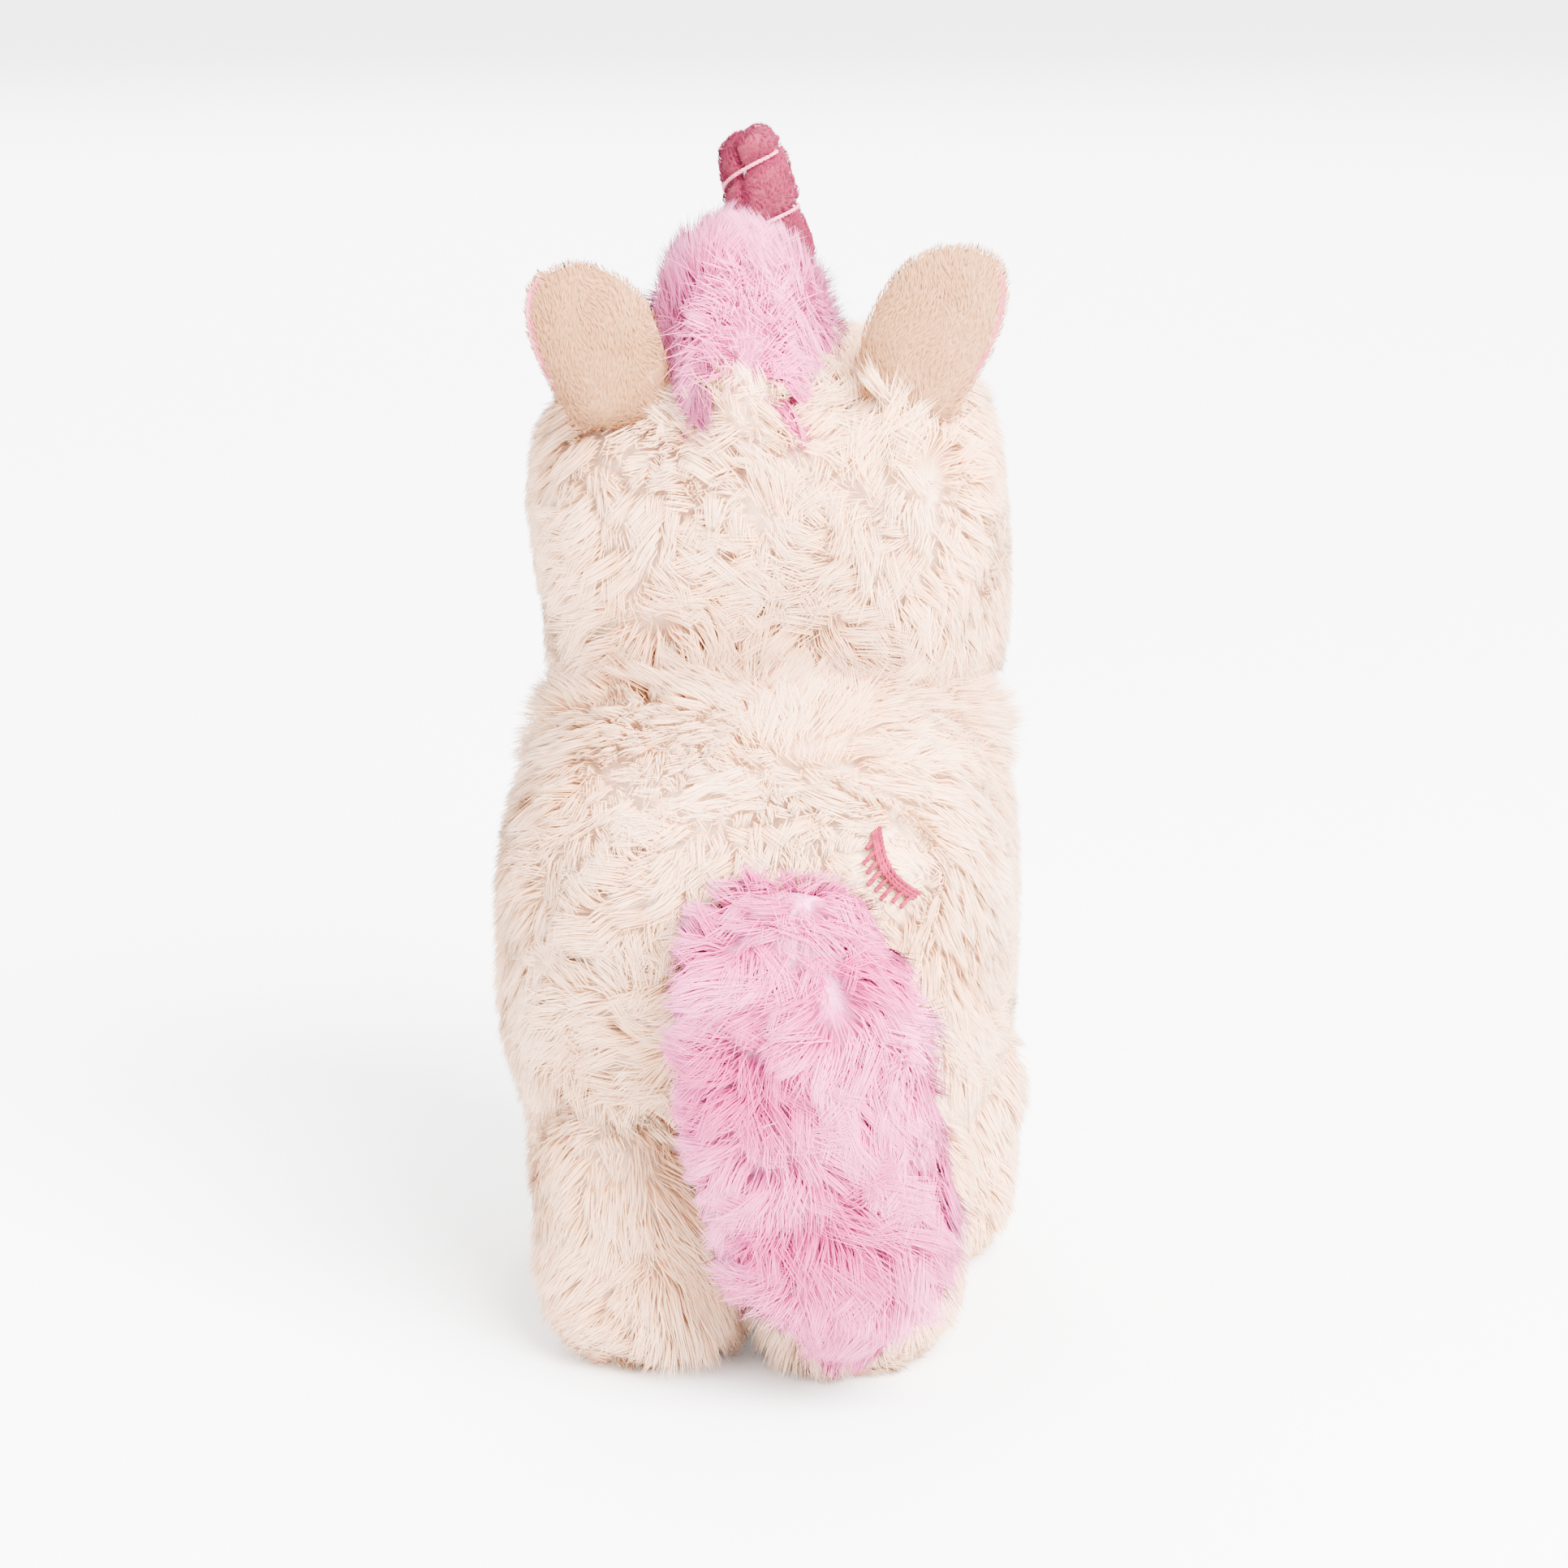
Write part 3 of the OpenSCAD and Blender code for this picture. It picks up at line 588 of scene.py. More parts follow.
def leg_distance(p, place):
    """How far points are outside a leg's pad, in millimetres, roughly."""
    rows = leg_rows(PAD_INSET)
    order = np.argsort(rows[:, 0], kind="stable")
    wide = np.interp(p[:, 2], rows[order, 0], rows[order, 1])
    long = np.interp(p[:, 2], rows[order, 0], rows[order, 2])
    d = p[:, :2] - place
    d[:, 1] += toe_shift(p[:, 2])
    ring = np.linalg.norm(d / np.stack([wide + 0.01, long + 0.01], 1), axis=1)
    side = (ring - 1) * np.maximum(wide, 1)
    return np.where(p[:, 2] > HIP + KNOB - PAD_INSET, FAR, side)


leg_pads = {name: leg_pad(name, place) for name, place in LEGS.items()}
print("leg pads:", len(leg_pads))

# %% Leg pile
def cream_shade(p):
    return 0.1 * drift(p, 30, 71)[:, 0] + 0.07 * drift(p, 12, 72)[:, 0]


def leg_flow(place):
    def flow(p):
        down = np.array([0, 0.1, -1.0])
        out = np.concatenate([p[:, :2] - place, np.zeros((len(p), 1))], 1) / 14
        foot = part((16 - p[:, 2:]) / 12)
        return down + out * (0.2 + 1.1 * foot) + 0.55 * drift(p, 26, 11)
    return flow


def grow_leg(name, place, seed):
    inner = lambda p: (body_level(p, PAD_INSET + 2) > 1) & (p[:, 2] > 1.4)
    hind = place[1] > 0

    def shorter(p):
        between = part(-np.sign(place[0]) * (p[:, 0] - place[0]) / 8) * hind
        return np.clip(0.5 + p[:, 2] / 22, 0.5, 1) * (1 + 0.9 * between)

    grow(name + "_pile", leg_pads[name], name, cream_pile, 4.0, 7.5,
         leg_flow(np.array(place)), (58, 22), keep=inner, size=shorter, shade=cream_shade,
         seed=seed)
    finish_pad(leg_pads[name], name, cream_backing,
               [name.replace("_leg_", "_leg_skin_")])


for k, (name, place) in enumerate(LEGS.items()):
    grow_leg(name, place, 40 + k * 5)

# %% [markdown]
# ## Body
# The body is one boxy cushion, highest over the shoulders. Its pile is brushed from the
# neck towards the rump and down, but handling has turned it into whorls, so the direction
# is a steady flow with a smooth random one on top.

# %% Body pad
WING = np.array([-25.2, 46.4, 87.9])
BELLY_SEAM = np.array([0, 3, 29.0])
body_pad, sphere = ball("body_pad", 128, 84)
places = fit_to(body_level, sphere, BODY_MIDDLE, PAD_INSET, [(WING, 7, 13), (BELLY_SEAM, 7, 12)])
dents = drift(places, 45, 3)[:, :1] * 0.7 * (1 - near(places, WING, 8, 14)[:, None])
shape(body_pad, places + unit(sphere) * dents)
print_box(body_pad)

# %% Body pile
def body_flow(p):
    steady = np.array([0, 0.5, -0.9]) + np.stack([p[:, 0] / 60, p[:, 1] * 0, p[:, 1] * 0], 1)
    return steady + 0.7 * drift(p, 30, 5) + 0.6 * drift(p, 12, 6)


def body_keep(p):
    clear = head_level(p, PAD_INSET + 1.5) > 1
    for place in LEGS.values():
        clear &= leg_distance(p, np.array(place)) > -1.5
    return clear


def body_neck(p):
    return part((1.32 - head_level(p, 0)) / 0.24)


def body_size(p):
    """Short round the embroidery and the belly's seam, longer where it fills the neck."""
    filled = 1 + 0.5 * body_neck(p)
    return filled * (1 - 0.8 * near(p, WING, 6, 11)) * (1 - 0.7 * near(p, BELLY_SEAM, 7, 12))


def body_panels(p):
    d = (p - BODY_MIDDLE) / [BODY_HALF_WIDTH, BODY_HALF_LENGTH, (BACK_RISE + BELLY_DROP) // 2]
    face = np.argmax(np.abs(d), axis=1)
    return face * 2 + (d[np.arange(len(d)), face] > 0)


grow("body_pile", body_pad, "torso", cream_pile, 4.0, 8.0, body_flow,
     (60, 26), keep=body_keep, size=body_size, panels=body_panels, waviness=1.5,
     shade=cream_shade, stand=lambda p: 0.6 * body_neck(p), seed=100)
finish_pad(body_pad, "torso", cream_backing, ["body_skin"])

# %% [markdown]
# ## Head
# The head is a short drum on its side with well rounded ends, tilted a little. Its pile
# stands more than the body's and is the most ruffled.

# %% Head pad
EYES = [rolled(np.array([[k * 21, -31.0, 7.7]]))[0] for k in (-1, 1)]
head_pad, sphere = ball("head_pad", 128, 84)
places = fit_to(head_level, sphere, HEAD_MIDDLE, PAD_INSET, [(eye, 6, 10) for eye in EYES])
shape(head_pad, places + sphere * drift(places, 40, 8)[:, :1] * 0.5)
print_box(head_pad)

# %% Head pile
EAR_TUFT = np.array([-25, 5.0, 152])


def head_flow(p):
    q = in_head_frame(p)
    away = unit(q - MUZZLE)
    behind = part((q[:, 1:2] + 12) / 24)
    steady = away * (1 - behind) + behind * (np.array([0, 0.25, -0.8]) + q * [0.012, 0, 0])
    steady = steady + part((np.abs(q[:, :1]) - 24) / 10) * [0, 0.5, -0.9]
    steady = steady + near(p, EAR_TUFT, 7, 17)[:, None] * ([0, 0, 1.8] + 0.8 * drift(p, 9, 17))
    return steady + (0.3 + 0.5 * behind) * drift(p, 26, 15) + 0.5 * behind * drift(p, 11, 16)


def head_neck(p):
    return part((1.3 - body_level(p, 0)) / 0.24)


def head_stand(p):
    """Upright in the neck, behind the mane and behind the right ear."""
    crown = near(p, np.array([3, 4, 151]), 8, 20)
    return part(0.6 * head_neck(p) + 0.3 * near(p, EAR_TUFT, 6, 14) + 0.6 * crown)


def head_size(p):
    q = in_head_frame(p)
    face = part((-q[:, 1] - 14) / 14)
    sides = part((np.abs(q[:, 0]) - 26) / 8)
    shorter = (1 - 0.45 * face) * (1 - 0.25 * sides) * (1 + 0.6 * head_neck(p))
    shorter *= 1 + 1.25 * near(p, EAR_TUFT, 7, 16)
    for eye in EYES:
        shorter *= 1 - 0.75 * near(p, eye, 6.5, 12)
    return shorter


def head_keep(p):
    clear = (body_level(p, PAD_INSET + 1.5) > 1) & (muzzle_level(p, 3) > 1)
    for eye in EYES:
        clear &= np.linalg.norm(p - eye, axis=1) > 4.6
    return clear


def head_panels(p):
    q = in_head_frame(p)
    return (q[:, 1] > 0) * 2 + (q[:, 2] > 0)


grow("head_pile", head_pad, "head", cream_pile, 4.4, 8.0, head_flow,
     (62, 26), keep=head_keep, size=head_size, panels=head_panels, waviness=1.7,
     shade=cream_shade, stand=head_stand, seed=200)
finish_pad(head_pad, "head", cream_backing, ["head_skin"])

# %% [markdown]
# ## Tail
# A flat bag of pink long pile, sewn on at its root and hanging over the rump.

# %% Tail pad
def rump_y(z):
    """The rump's furthest point back at a height."""
    up = part((z - BODY_MIDDLE[2]) / RUMP_RISE)
    out = np.maximum(1 - up ** LENGTH_FULL, 0) ** (1 / LENGTH_FULL)
    return BODY_MIDDLE[1] + BODY_HALF_LENGTH * out


TAIL_ROWS = [[0.12, 0.85, 0.85], [0.26, 0.96, 0.95], [0.45, 1, 1], [0.64, 0.98, 0.97],
             [0.8, 0.84, 0.86], [0.91, 0.58, 0.66], [0.98, 0.27, 0.35]]
TAIL_INSET = 2.0


def tail_table(inset):
    """Height, half width, half thickness and middle of the tail's rings, from tip to root."""
    rows = [[12 + inset, 0, 0, -19, rump_y(12) + 3.9]]
    for share, wide, thick in reversed(TAIL_ROWS):
        z = 82 - share * 70
        rows.append([z + inset * (share > 0.9), 18.5 * wide - inset, 9 * thick - inset,
                     -8 - 11 * share ** 1.3, rump_y(z) + 0.3 + 9 * thick])
    for a in np.radians([0, 25, 50, 72, 90]):
        rows.append([82 + (6 - inset) * math.sin(a), (12 - inset) * math.cos(a),
                     (6 - inset) * math.cos(a), -8, rump_y(82) + 6.3])
    return np.maximum(np.array(rows), [0, 0, 0, -99, 0])


tail_pad, sphere = ball("tail_pad", 48, 56)
z, wide, thick, x, y = drawn_through(sphere, tail_table(TAIL_INSET))
a = np.arctan2(sphere[:, 1], sphere[:, 0])
shape(tail_pad, np.stack([x + wide * np.cos(a), y + thick * np.sin(a), z], 1))
print_box(tail_pad)

# %% Tail pile
WHORL = np.array([-7.5, 70, 79.0])


def tail_flow(p):
    """Out of a whorl below the root on every side, and down further on."""
    away = (p - WHORL + 9 * drift(p, 15, 25)) * [1, 0, 1]
    far = np.linalg.norm(away, axis=1, keepdims=True)
    side = (p[:, :1] + 8 + 11 * part((82 - p[:, 2:]) / 70)) / 18
    whorl = np.exp(-far / 10)
    down = side * np.array([0.7, 0, 0]) + np.array([0, 0.1, -0.9])
    steady = unit(away) * whorl * 1.2 + down * (1 - whorl)
    return steady + 0.5 * drift(p, 24, 21) + 0.25 * drift(p, 10, 22)


def tail_shade(p):
    groove = drift(p, 17, 23)[:, 0] + 0.6 * drift(p * [1, 1, 0.4], 9, 24)[:, 1]
    return 0.3 * groove


def tail_size(p):
    """Shorter over the root and along the left edge, where the pile lies flatter."""
    left = part((p[:, 0] + 2 + 0.12 * (82 - p[:, 2])) / 8)
    return (1 - 0.35 * part((p[:, 2] - 76) / 8)) * (1 - 0.3 * left)


def tail_keep(p):
    return body_level(p, 0.5) > 1


grow("tail_pile", tail_pad, "tail", pink_pile, 6.0, 12, tail_flow, (44, 10),
     keep=tail_keep, size=tail_size,
     pull=(0.65, 0.6), waviness=1.9, shade=tail_shade, painted_crevice_shade=0.3,
     panels=lambda p: (p[:, 2] > 44) * 1, seed=300)
finish_pad(tail_pad, "tail", pink_backing, ["tail_skin"])

# %% [markdown]
# ## Mane
# One strip of the pink pile over the crown, longest behind the horn, where it stands up.

# %% Mane pad
mane_pad, sphere = ball("mane_pad", 40, 32)


def mane_at(s, inset):
    """Places on the strip in the head's frame: s runs over a ball, from front to rear."""
    along = np.arcsin(np.clip(s[:, 2], -1, 1)) / math.pi + 0.5
    phi = np.radians(-12 + 70 * along)
    q = np.maximum(1 - (2 * along - 1) ** 2, 0) ** 0.35
    a = np.arctan2(s[:, 1], s[:, 0])
    tall = 9 + 18 * (1 - along) ** 1.5
    narrow = part((along - 0.2) / 0.45)
    half = 15.5 * (1 - 0.34 * narrow * narrow * (3 - 2 * narrow))
    lean = np.where(np.cos(a) > 0, 0.42, 0.02) * np.cos(a) * part(np.sin(a))
    leaning = 0.96 + lean * (1 - along)
    r = 31 + np.maximum((tall + 2) * q - inset, 0) * np.sin(a) * leaning
    x = 2.5 + np.maximum(half * q - inset, 0) * np.cos(a)
    return np.stack([x, r * np.sin(phi), r * np.cos(phi)], 1)


shape(mane_pad, rolled(mane_at(sphere, PAD_INSET)))
mane_pad.data.flip_normals()
print_box(mane_pad)

# %% Mane pile
def mane_flow(p):
    """Up to the peak beside the horn, and lower down from a parting to both sides."""
    q = in_head_frame(p)
    side = np.clip((q[:, :1] - 3) / 10, -1.2, 1.2)
    high = part((q[:, 2:] - 34) / 12)
    up = unit(np.array([8.0, -6, 58]) - q) + side * np.array([0.3, 0, 0])
    down = side * np.array([1.4, 0, 0]) + np.array([0, 0.4, -0.15])
    return up * high + down * (1 - high) + 0.3 * drift(p, 15, 31)


def is_pink(p):
    """The pink pile ends about half way down the strip, in a ragged line."""
    q = in_head_frame(p)
    wedge = 3.5 * np.exp(-((q[:, 0] + 1) / 4) ** 2)
    return np.degrees(np.arctan2(q[:, 1], q[:, 2])) < 42 - wedge + 3.5 * drift(p, 7, 35)[:, 0]


def mane_end_flow(p):
    """Out of the strip and up, where cream pile covers its rear."""
    return head_flow(p) * 0.5 + np.array([0, 0.1, 0.9]) + 0.7 * drift(p, 8, 37)


grow("mane_pile", mane_pad, "head", pink_pile, 7.0, 12, mane_flow, (42, 12),
     keep=lambda p: (head_level(p, 1) > 1) & is_pink(p), pull=(0.7, 0.5), waviness=0.9,
     shade=lambda p: 0.2 + 0.16 * drift(p, 9, 33)[:, 0], seed=400)
grow("mane_end_pile", mane_pad, "head", cream_pile, 4.4, 6.5, mane_end_flow,
     (70, 42), keep=lambda p: (head_level(p, 1) > 1) & ~is_pink(p), tufts=(20, 80),
     size=lambda p: 1 + 0.5 * drift(p, 4, 36)[:, 0], waviness=1.5, shade=cream_shade, seed=450)
finish_pad(mane_pad, "head", cream_backing, ["mane"])
mane_pad.data.materials.append(pink_backing)
middles = np.array([f.center for f in mane_pad.data.polygons]) / MM
mane_pad.data.polygons.foreach_set("material_index", is_pink(middles).astype(np.int32))

# %% [markdown]
# ## Muzzle
# The muzzle is a small stuffed dome of short plush, sewn to the face. Its pile is cut to
# under three millimetres and lies flat, so it is denser and finer than the long pile.

# %% Short plush
short_pile = pile_material("cream_short_plush", ("#774829", "#91603B", "#A57350"),
                           ("#92603B", "#A87651", "#B98966"))
short_backing = backing_material("cream_short_knit_backing", "#8C6444", "#A27C5A")

# %% Muzzle pad and pile
def muzzle_places(b, a, lift):
    """Points on the muzzle: b is 90 at its front, and a goes round it."""
    b, a = np.radians(b), np.radians(a)
    return rolled(MUZZLE + np.stack([(MUZZLE_HALF_WIDTH + lift) * np.cos(b) * np.cos(a),
                                     -(MUZZLE_HALF_LENGTH + lift) * np.sin(b),
                                     (MUZZLE_HALF_HEIGHT + lift) * np.cos(b) * np.sin(a)], -1))


t = np.linspace(-38, 38, 40)
mouth = muzzle_places(52 - 6 * np.cos(np.radians(2 * t)), 270 + t, -0.25)
t = np.linspace(-4, 4, 12)
nostrils = [muzzle_places(66 + t, 90 - k * (50 - t), -0.2) for k in (1, -1)]
muzzle_pad, sphere = ball("muzzle_pad", 64, 40)
muzzle_half = np.array([MUZZLE_HALF_WIDTH, MUZZLE_HALF_LENGTH, MUZZLE_HALF_HEIGHT]) - 1.2
shape(muzzle_pad, rolled(MUZZLE + sphere * muzzle_half))


def muzzle_size(p):
    line = np.concatenate([mouth, *nostrils])
    away = np.linalg.norm(p[:, None] - line[None], axis=2).min(1)
    return np.clip(away / 3, 0.35, 1)


grow("muzzle_pile", muzzle_pad, "head", short_pile, 6.5, 2.4,
     lambda p: unit(in_head_frame(p) - MUZZLE - [0, -18, 4]) + 0.3 * drift(p, 9, 51), (44, 14),
     radius=0.095, keep=lambda p: head_level(p, 2) > 1, size=muzzle_size, waviness=0.15,
     painted_crevice_shade=0.03, pull=(0.25, 0.25), shade=lambda p: 0.3 + 0.08 * drift(p, 14, 52)[:, 0],
     seed=500)
finish_pad(muzzle_pad, "head", short_backing, ["muzzle_skin"])

# %% [markdown]
# ## Ears
# Each ear is two leaves of cloth sewn round the rim: short plush outside and woven cotton
# inside, with a little filling between. A ball drawn through the CAD rows is pressed flat on
# one side, which gives each leaf its own closed mesh, and the lining is dished.

# %% Ear leaves
EAR_ROWS = np.array([[-3.5, 0, 0], [-3.33, 6.03, 1.08], [-2.47, 6.99, 2.47], [-1.2, 7.58, 3.29],
                     [0, 7.7, 3.5], [3.83, 9.2, 3.43], [8.93, 10.3, 3.2], [14.03, 10.3, 2.9],
                     [18.36, 9.4, 2.4], [21.93, 7.6, 1.8], [24.3, 5.0, 1.1], [25.5, 0, 0]])
EAR_LENGTH = EAR_ROWS[-1, 0]


def head_radius(x):
    return HEAD_RADIUS * (1 - (abs(x) / HEAD_HALF_WIDTH) ** HEAD_FULL) ** (1 / HEAD_FULL)


def ear_places(local, side):
    """From an ear's own frame, with +Z up the ear and +Y out of its back, to the toy's."""
    x = side * 24.8 - 1.4
    r = head_radius(x) + 2.7
    seat = np.array([x, r * math.sin(math.radians(40)), r * math.cos(math.radians(40))])
    return rolled(local @ turn(y=side * 8 - 4, z=side * 4).T + seat)


def ear_leaf(name, side, face):
    """One leaf of an ear: face is 1 for the plush outside and -1 for the dished lining."""
    pad, s = ball(name, 72, 48)
    z, wide, thick = drawn_through(s, EAR_ROWS)
    z = np.where(z > 0, z * (0.93 if side > 0 else 1), z)
    a = np.arctan2(s[:, 1], s[:, 0])
    deep = part(face * np.sin(a))
    if face < 0:
        dish = 0.75 * deep ** 3 * part(z / 8) * part((EAR_LENGTH - z) / 6)
        thick, wide = thick * (1 - dish), wide * 0.985
    x = side * 5.5 * np.maximum(z / EAR_LENGTH, 0) ** 1.6 + wide * np.cos(a)
    y = face * thick * deep
    if face < 0:
        outer = part(side * np.cos(a))
        rim = outer ** 2 * part(z / 6) * part((EAR_LENGTH - z) / 4)
        x, y = x + side * 0.35 * rim, y + 1.5 * rim * (1 - deep)
    shape(pad, ear_places(np.stack([x, y, z], 1), side))
    return pad


def ear_flow(side):
    up = ear_places(np.array([[side * 3, 0, EAR_LENGTH]]), side)
    up = up - ear_places(np.array([[0.0, 0, 0]]), side)
    return lambda p: unit(up) + 0.35 * drift(p, 12, 61)


def ear_painted_shade(p):
    """Painted shade: darker on the left ear, which faces away from the key light, and low
    down towards the mane, by the seam, where the head's pile shades the ear.
    """
    q = in_head_frame(p)
    low, inner = part((42 - q[:, 2]) / 14), part((34 - np.abs(q[:, 0])) / 14)
    return 0.15 - 0.2 * (q[:, 0] > 0) - 0.5 * low * inner


# %% Lining cloth
def lining_material():
    """Plain-woven cotton, whose threads are about 0.45 mm apart, with small woven dots."""
    material, shader = fresh("pink_woven_cotton", Roughness=0.85, Sheen_Weight=0.2)
    waves = [texture(material, "TexWave", 698.0, Distortion=1.0, Detail=1.0) for _ in range(2)]
    waves[0].bands_direction, waves[1].bands_direction = "X", "Z"
    weave = node(material, "Math", {0: (waves[0], "Fac"), 1: (waves[1], "Fac")},
                 operation="MAXIMUM")
    cloud = texture(material, "TexNoise", 130.0)
    tint = ramp(material, (cloud, "Fac"), [(0.35, "#A83258"), (0.65, "#BE4F72")])
    spots = texture(material, "TexVoronoi", 260.0, Randomness=0.15)
    dots = ramp(material, (spots, "Distance"), [(0.2, 1.0), (0.26, 0.0)])
    both = node(material, "Mix", {"Factor": (dots, "Color"), "A": (tint, "Color"),
                                  "B": linear("#E39DB3")}, data_type="RGBA")
    surface(material, shader, (both, "Result"), (weave, "Value"), 0.4, 0.0002)
    return material


cotton = lining_material()
for side, word in ((1, "left"), (-1, "right")):
    ear = f"ear_{word}"
    back_leaf = ear_leaf(f"ear_back_pad_{word}", side, 1)
    grow(f"ear_pile_{word}", back_leaf, ear, short_pile, 7.0, 2.1,
         ear_flow(side), (38, 12), radius=0.085, keep=lambda p: head_level(p, 1) > 1,
         pull=(0.2, 0.2), waviness=0.2, shade=ear_painted_shade, painted_crevice_shade=0.03, seed=600 + side)
    finish_pad(back_leaf, ear, short_backing, [f"ear_back_{word}"])
    front_leaf = ear_leaf(f"ear_lining_leaf_{word}", side, -1)
    finish_pad(front_leaf, ear, cotton, [f"ear_lining_{word}"])

# %% [markdown]
# ## Horn
# A cone of crimson velour, stuffed firmly. A thread is wound up it and pulled tight, so the
# cloth swells between the turns, and the top, where the cone is gathered, is crumpled.

# %% Horn pad
HORN_SEAT = np.array([-3, -35.4 * math.sin(math.radians(31)), 35.4 * math.cos(math.radians(31))])
HORN_LEAN = turn(x=10, y=9)
HORN_LENGTH, HORN_BASE, HORN_TAPER, HORN_ROUND = 37.5, 9, 3.4, 3
HORN_PITCH, THREAD_LOW, THREAD_HIGH = 10.5, 7.0, 33.0


def horn_places(local):
    return rolled(local @ HORN_LEAN.T + HORN_SEAT)


def in_horn_frame(p):
    return (in_head_frame(p) - HORN_SEAT) @ HORN_LEAN


def horn_radius(h):
    return HORN_BASE - HORN_TAPER * h / HORN_LENGTH


def from_thread(a, z):
    """How far a place on the horn is from the wound thread, and 1 where there is thread."""
    turns = (z - THREAD_LOW) / HORN_PITCH - a / (2 * math.pi)
    away = (turns - np.round(turns)) * HORN_PITCH
    held = part((z - away - THREAD_LOW + 2) / 2)
    return away, held * part((THREAD_HIGH + 2 - z + away) / 2)


def horn_table(inset):
    """Height and radius of the horn's rings, from the ball in the head to the blunt tip."""
    base, top = HORN_BASE - inset, HORN_LENGTH - inset
    rows = [[base * math.sin(a), base * math.cos(a)] for a in np.radians(range(-90, 1, 15))]
    for a in np.radians([0, 15, 30, 50, 70, 90]):
        rows.append([top - HORN_ROUND * (1 - math.sin(a)),
                     horn_radius(top - HORN_ROUND) - inset - HORN_ROUND * (1 - math.cos(a))])
    return np.array(rows + [[top, 0]])


horn_pad, sphere = ball("horn_pad", 96, 110)
z, wide = drawn_through(sphere, np.pad(horn_table(0.9), ((0, 0), (0, 1))))[:2]
a = np.arctan2(sphere[:, 1], sphere[:, 0])
away, held = from_thread(a, z)
wide = wide + np.where(wide > 1, held * (0.25 - 1.1 * np.exp(-(away / 1.2) ** 2)), 0)
crease = np.exp(-((a - 1.15) * wide / 0.9) ** 2) * part((z - 4) / 5)
wide = np.maximum(wide - (0.4 + 0.5 * part((z - 22) / 10)) * crease * (wide > 2), 0)
local = np.stack([wide * np.cos(a), wide * np.sin(a), z], 1)
crumple = part((z - 27) / 10)[:, None]
notch = np.exp(-((a - 1.45) / 0.35) ** 2) * part((z - 31) / 6) * part(wide / 3)
local[:, 2] -= 1.3 * notch
local = local + crumple * drift(local, 7, 81) * 0.85 + 0.16 * drift(local, 5, 82)
shape(horn_pad, horn_places(local))

# %% Horn pile
velour = pile_material("crimson_polyester_velour", ("#3C0415", "#530922", "#671431"),
                       ("#530922", "#6D1534", "#822746"))
velour_backing = backing_material("crimson_knit_backing", "#520A20", "#6A142C")


def horn_keep(p):
    q = in_horn_frame(p)
    away, held = from_thread(np.arctan2(q[:, 1], q[:, 0]), q[:, 2])
    return (q[:, 2] > -1) & ((np.abs(away) > 0.5) | (held < 0.5))


horn_up = horn_places(np.array([[0, 0, 1.0]])) - horn_places(np.zeros((1, 3)))
grow("horn_pile", horn_pad, "horn", velour, 7.0, 1.2,
     lambda p: horn_up + 0.6 * drift(p, 8, 83), (50, 24), radius=0.085, keep=horn_keep,
     tufts=(8, 60), painted_crevice_shade=0.1, waviness=0.1,
     shade=lambda p: 0.14 * drift(p, 6, 84)[:, 0], seed=700)
finish_pad(horn_pad, "horn", velour_backing, ["horn_cover"])

# %% [markdown]
# ## Sewn threads
# Embroidery thread is three fine yarns twisted together, and the twist is what catches the
# light. Each run of thread is therefore three thin tubes wound round one path.

# %% Plied thread
def plied(name, paths, body, material, replaces, reach=0.5, pitch=2.4):
    """Three yarns round each path of points in millimetres, as one mesh."""
    curve = bpy.data.curves.new(name, "CURVE")
    curve.dimensions, curve.use_fill_caps = "3D", True
    curve.bevel_depth, curve.bevel_resolution = reach * 0.56 * MM, 1
    for path in paths:
        way = np.concatenate([[0], np.cumsum(np.linalg.norm(np.diff(path, axis=0), axis=1))])
        s = np.linspace(0, way[-1], max(6, int(way[-1] / 0.4)))
        line = np.stack([np.interp(s, way, path[:, k]) for k in range(3)], 1)
        ahead = unit(np.gradient(line, axis=0))
        one = unit(np.cross(ahead, [0.3, 0.2, 0.93]))
        two = np.cross(ahead, one)
        for yarn in range(3):
            a = (2 * math.pi * (s / pitch + yarn / 3))[:, None]
            points = line + (np.cos(a) * one + np.sin(a) * two) * reach * 0.48
            spline = curve.splines.new("POLY")
            spline.points.add(len(points) - 1)
            four = np.pad(points * MM, ((0, 0), (0, 1)), constant_values=1)
            spline.points.foreach_set("co", four.ravel())
    made = bpy.data.objects.new(name, curve)
    bpy.context.scene.collection.objects.link(made)
    bpy.ops.object.select_all(action="DESELECT")
    made.select_set(True)
    bpy.context.view_layer.objects.active = made
    bpy.ops.object.convert(target="MESH")
    made.data.shade_smooth()
    made.data.materials.append(material)
    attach(made, body)
    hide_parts(*replaces)
    print(name, "faces:", len(made.data.polygons))


def thread_material(name, dark, light):
    """Mercerised thread: smooth yarns with a soft gloss, slightly uneven in tone."""
    material, shader = fresh(name, Roughness=0.6, Specular_IOR_Level=0.2)
    fleck = texture(material, "TexNoise", 700.0, Detail=3.0)
    tint = ramp(material, (fleck, "Fac"), [(0.35, dark), (0.65, light)])
    surface(material, shader, (tint, "Color"), (fleck, "Fac"), 0.3, 0.0001)
    return material


pink_thread = thread_material("pink_mercerised_thread", "#B4586F", "#C97388")
red_thread = thread_material("crimson_mercerised_thread", "#6A0826", "#8A163A")
cream_thread = thread_material("cream_mercerised_thread", "#D9C4B0", "#EFE2D4")

# %% Thread on the horn
turns = np.linspace(0, (THREAD_HIGH - THREAD_LOW) / HORN_PITCH, 90)
h = THREAD_LOW + turns * HORN_PITCH
drawn_in = part(1 - turns / 0.06) + part((turns - turns[-1]) / 0.06 + 1)
r, a = horn_radius(h) - 0.6 - 1.8 * drawn_in, turns * 2 * math.pi
winding = horn_places(np.stack([r * np.cos(a), r * np.sin(a), h], 1))
plied("horn_wound_thread", [winding], "horn", pink_thread,
      ["horn_spiral_thread"], 0.36)

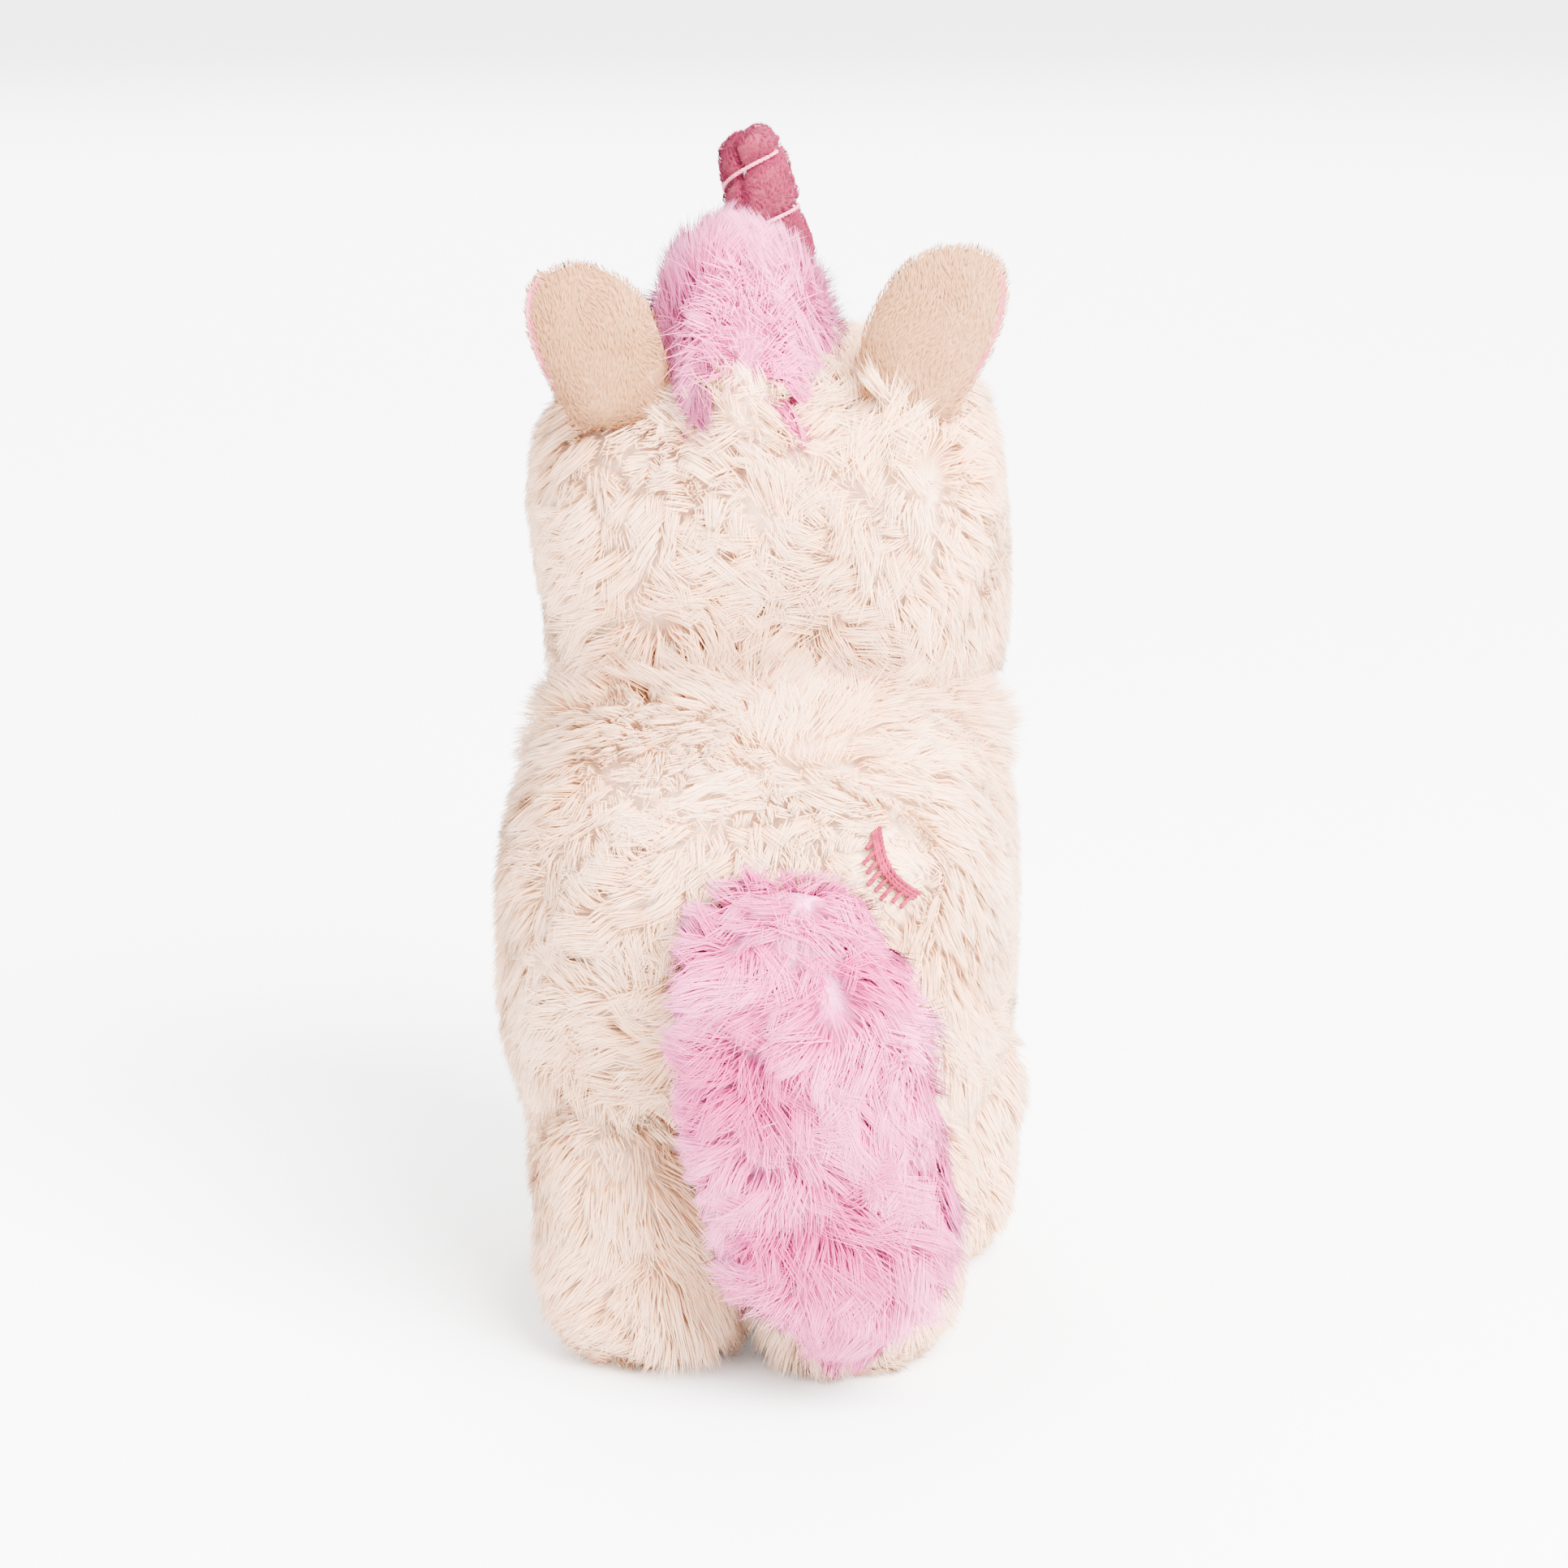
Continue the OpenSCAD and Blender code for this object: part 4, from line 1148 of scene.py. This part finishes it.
# %% Mouth and nostrils
plied("nose_and_mouth_thread", [mouth, *nostrils], "head", red_thread,
      ["nose_and_mouth_stitching"])


# %% Embroidery on the rump and the belly's seam
def body_places(b, a, lift):
    """Points on the body's skin: b runs from chest to rump, a goes round, in degrees."""
    def at(b, a):
        b, a = np.radians(b), np.radians(a)
        power = lambda v, full: np.sign(v) * np.abs(v) ** (2 / full)
        s, q = power(np.sin(b), LENGTH_FULL), power(np.cos(b), LENGTH_FULL)
        c, d = power(np.cos(a), BODY_FULL), power(np.sin(a), BODY_FULL)
        rise = np.where(d > 0, BACK_RISE * (1 - BACK_SLOPE * s), BELLY_DROP)
        places = [BODY_HALF_WIDTH * q * c, BODY_HALF_LENGTH * s, rise * q * d]
        return BODY_MIDDLE + np.stack(places, -1)
    out = np.cross(at(b + 0.5, a) - at(b - 0.5, a), at(b, a + 0.5) - at(b, a - 0.5))
    return at(b, a) + np.asarray(lift)[..., None] * unit(out)


def on_rump(x, z, lift):
    """The place on the back of the body's skin at a width and a height."""
    def at(x, z):
        up = z - BODY_MIDDLE[2]
        tall = np.where(up > 0, RUMP_RISE, BELLY_DROP)
        ring = np.abs(x / BODY_HALF_WIDTH) ** BODY_FULL + np.abs(up / tall) ** BODY_FULL
        out = np.maximum(1 - ring ** (LENGTH_FULL / BODY_FULL), 0) ** (1 / LENGTH_FULL)
        return np.stack([x, BODY_MIDDLE[1] + BODY_HALF_LENGTH * out, z], -1)
    out = np.cross(at(x, z + 0.2) - at(x, z - 0.2), at(x + 0.2, z) - at(x - 0.2, z))
    return at(x, z) + np.asarray(lift)[..., None] * unit(out)


def quill(t, aside=0.0):
    """The mark's spine, an arc that bows towards the tail."""
    bow = 1.6 * np.sin(math.pi * t) + aside
    return -21.4 - 6.4 * t + bow * 0.85, 92.8 - 10.2 * t - bow * 0.53


t = np.linspace(0, 1, 30)
runs = [on_rump(*quill(t, aside), 0.75 + 0.15 * np.sin(math.pi * t)) for aside in (-0.3, 0.3, 0.8)]
for i in range(8):
    t = (i + 0.6) / 8
    x, z = quill(t)
    k = np.linspace(0, 1, 9)
    reach = 1.9 + 1.1 * math.sin(math.pi * t) + 0.5 * (i % 2)
    runs.append(on_rump(x + reach * k * 0.8, z - reach * k * 0.55 - 0.5 * k * k, 0.85 - 0.35 * k))
plied("wing_threads", runs, "torso", red_thread, ["wing_embroidery"], 0.42)
k = np.linspace(-1, 1, 8)
seam = [body_places((i - 3) * 3 + k * 1.6 / 3, 270 + k * 1.6, 0.35) for i in range(7)]
plied("belly_seam_thread", seam, "torso", cream_thread,
      ["belly_closing_stitch"], 0.36)

# %% [markdown]
# ## Soles
# Each foot stands on a small oval of wool felt. It is a disc that is drawn out, thickened
# and rounded at its upper rim, and its underside stays flat on the floor.

# %% Felt soles
def felt_material():
    """Pressed wool felt: short fibres in all directions, about 0.3 mm across."""
    material, shader = fresh("cream_wool_felt", Roughness=0.95, Sheen_Weight=0.4)
    fuzz = texture(material, "TexNoise", 1800.0, Detail=4.0, Distortion=1.5)
    cloud = texture(material, "TexNoise", 220.0)
    tint = ramp(material, (cloud, "Fac"), [(0.3, "#C2A68C"), (0.7, "#D6BFA8")])
    surface(material, shader, (tint, "Color"), (fuzz, "Fac"), 0.6, 0.0003)
    return material


felt = felt_material()


SOLE_HALF_WIDTH, SOLE_HALF_LENGTH, SOLE_THICK, SOLE_FORWARD = 7.25, 9, 1.2, 1.2


def sole(name, place, body, node_name):
    bpy.ops.object.select_all(action="DESELECT")
    x, y = place[0] * MM, (place[1] - SOLE_FORWARD) * MM
    bpy.ops.mesh.primitive_circle_add(vertices=56, radius=SOLE_HALF_WIDTH * MM,
                                      fill_type="NGON", location=(x, y, 0))
    made = bpy.context.object
    made.name = made.data.name = name
    bpy.ops.object.transform_apply(location=True)
    bpy.ops.object.mode_set(mode="EDIT")
    bpy.ops.transform.resize(value=(1, SOLE_HALF_LENGTH / SOLE_HALF_WIDTH, 1),
                             center_override=(x, y, 0))
    bpy.ops.mesh.extrude_region_move(TRANSFORM_OT_translate={"value": (0, 0, SOLE_THICK * MM)})
    bpy.ops.mesh.bevel(offset=0.45 * MM, segments=3, affect="EDGES")
    leave_edit_mode(made, inside=False)
    made.data.materials.append(felt)
    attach(made, body)
    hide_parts(node_name)


for name, place in LEGS.items():
    end, _, word = name.split("_")
    sole(f"{end}_felt_sole_{word}", place, name, f"{end}_foot_sole_{word}")
print("soles:", len(LEGS))

# %% [markdown]
# ## What the CAD shapes keep
# The eyes, their lock washers and the filling have the right shape already, so they only
# get materials: glossy moulded eyes, natural nylon washers, and white fibre fill.

# %% Eyes, washers and filling
def eye_material():
    """Injection-moulded acrylic, polished: black, faintly brown in places."""
    material, shader = fresh("polished_black_acrylic", IOR=1.49, Specular_IOR_Level=0.1)
    haze = texture(material, "TexNoise", 300.0, Detail=2.0)
    tint = ramp(material, (haze, "Fac"), [(0.35, "#060505"), (0.7, "#100C0A")])
    dull = node(material, "MapRange", {"Value": (haze, "Fac"), "To Min": 0.05, "To Max": 0.1})
    link(material, tint, "Color", shader, "Base Color")
    link(material, dull, "Result", shader, "Roughness")
    return material


def plain_noise(name, dark, light, scale, **sockets):
    material, shader = fresh(name, **sockets)
    cloud = texture(material, "TexNoise", scale, Detail=4.0)
    tint = ramp(material, (cloud, "Fac"), [(0.3, dark), (0.7, light)])
    surface(material, shader, (tint, "Color"), (cloud, "Fac"), 0.4, 0.0003)
    return material


acrylic = eye_material()
nylon = plain_noise("moulded_natural_nylon", "#B9BBBD", "#D3D5D6", 500.0, Roughness=0.4)
fill = plain_noise("white_polyester_fibre_fill", "#EDEDE8", "#FCFCFA", 900.0, Roughness=0.95)
for name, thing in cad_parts.items():
    if thing.hide_render:
        continue
    coat = acrylic if name in ("eye_left", "eye_right") else nylon if "washer" in name else fill
    thing.data.materials.clear()
    thing.data.materials.append(coat)
    print(name, "->", coat.name)
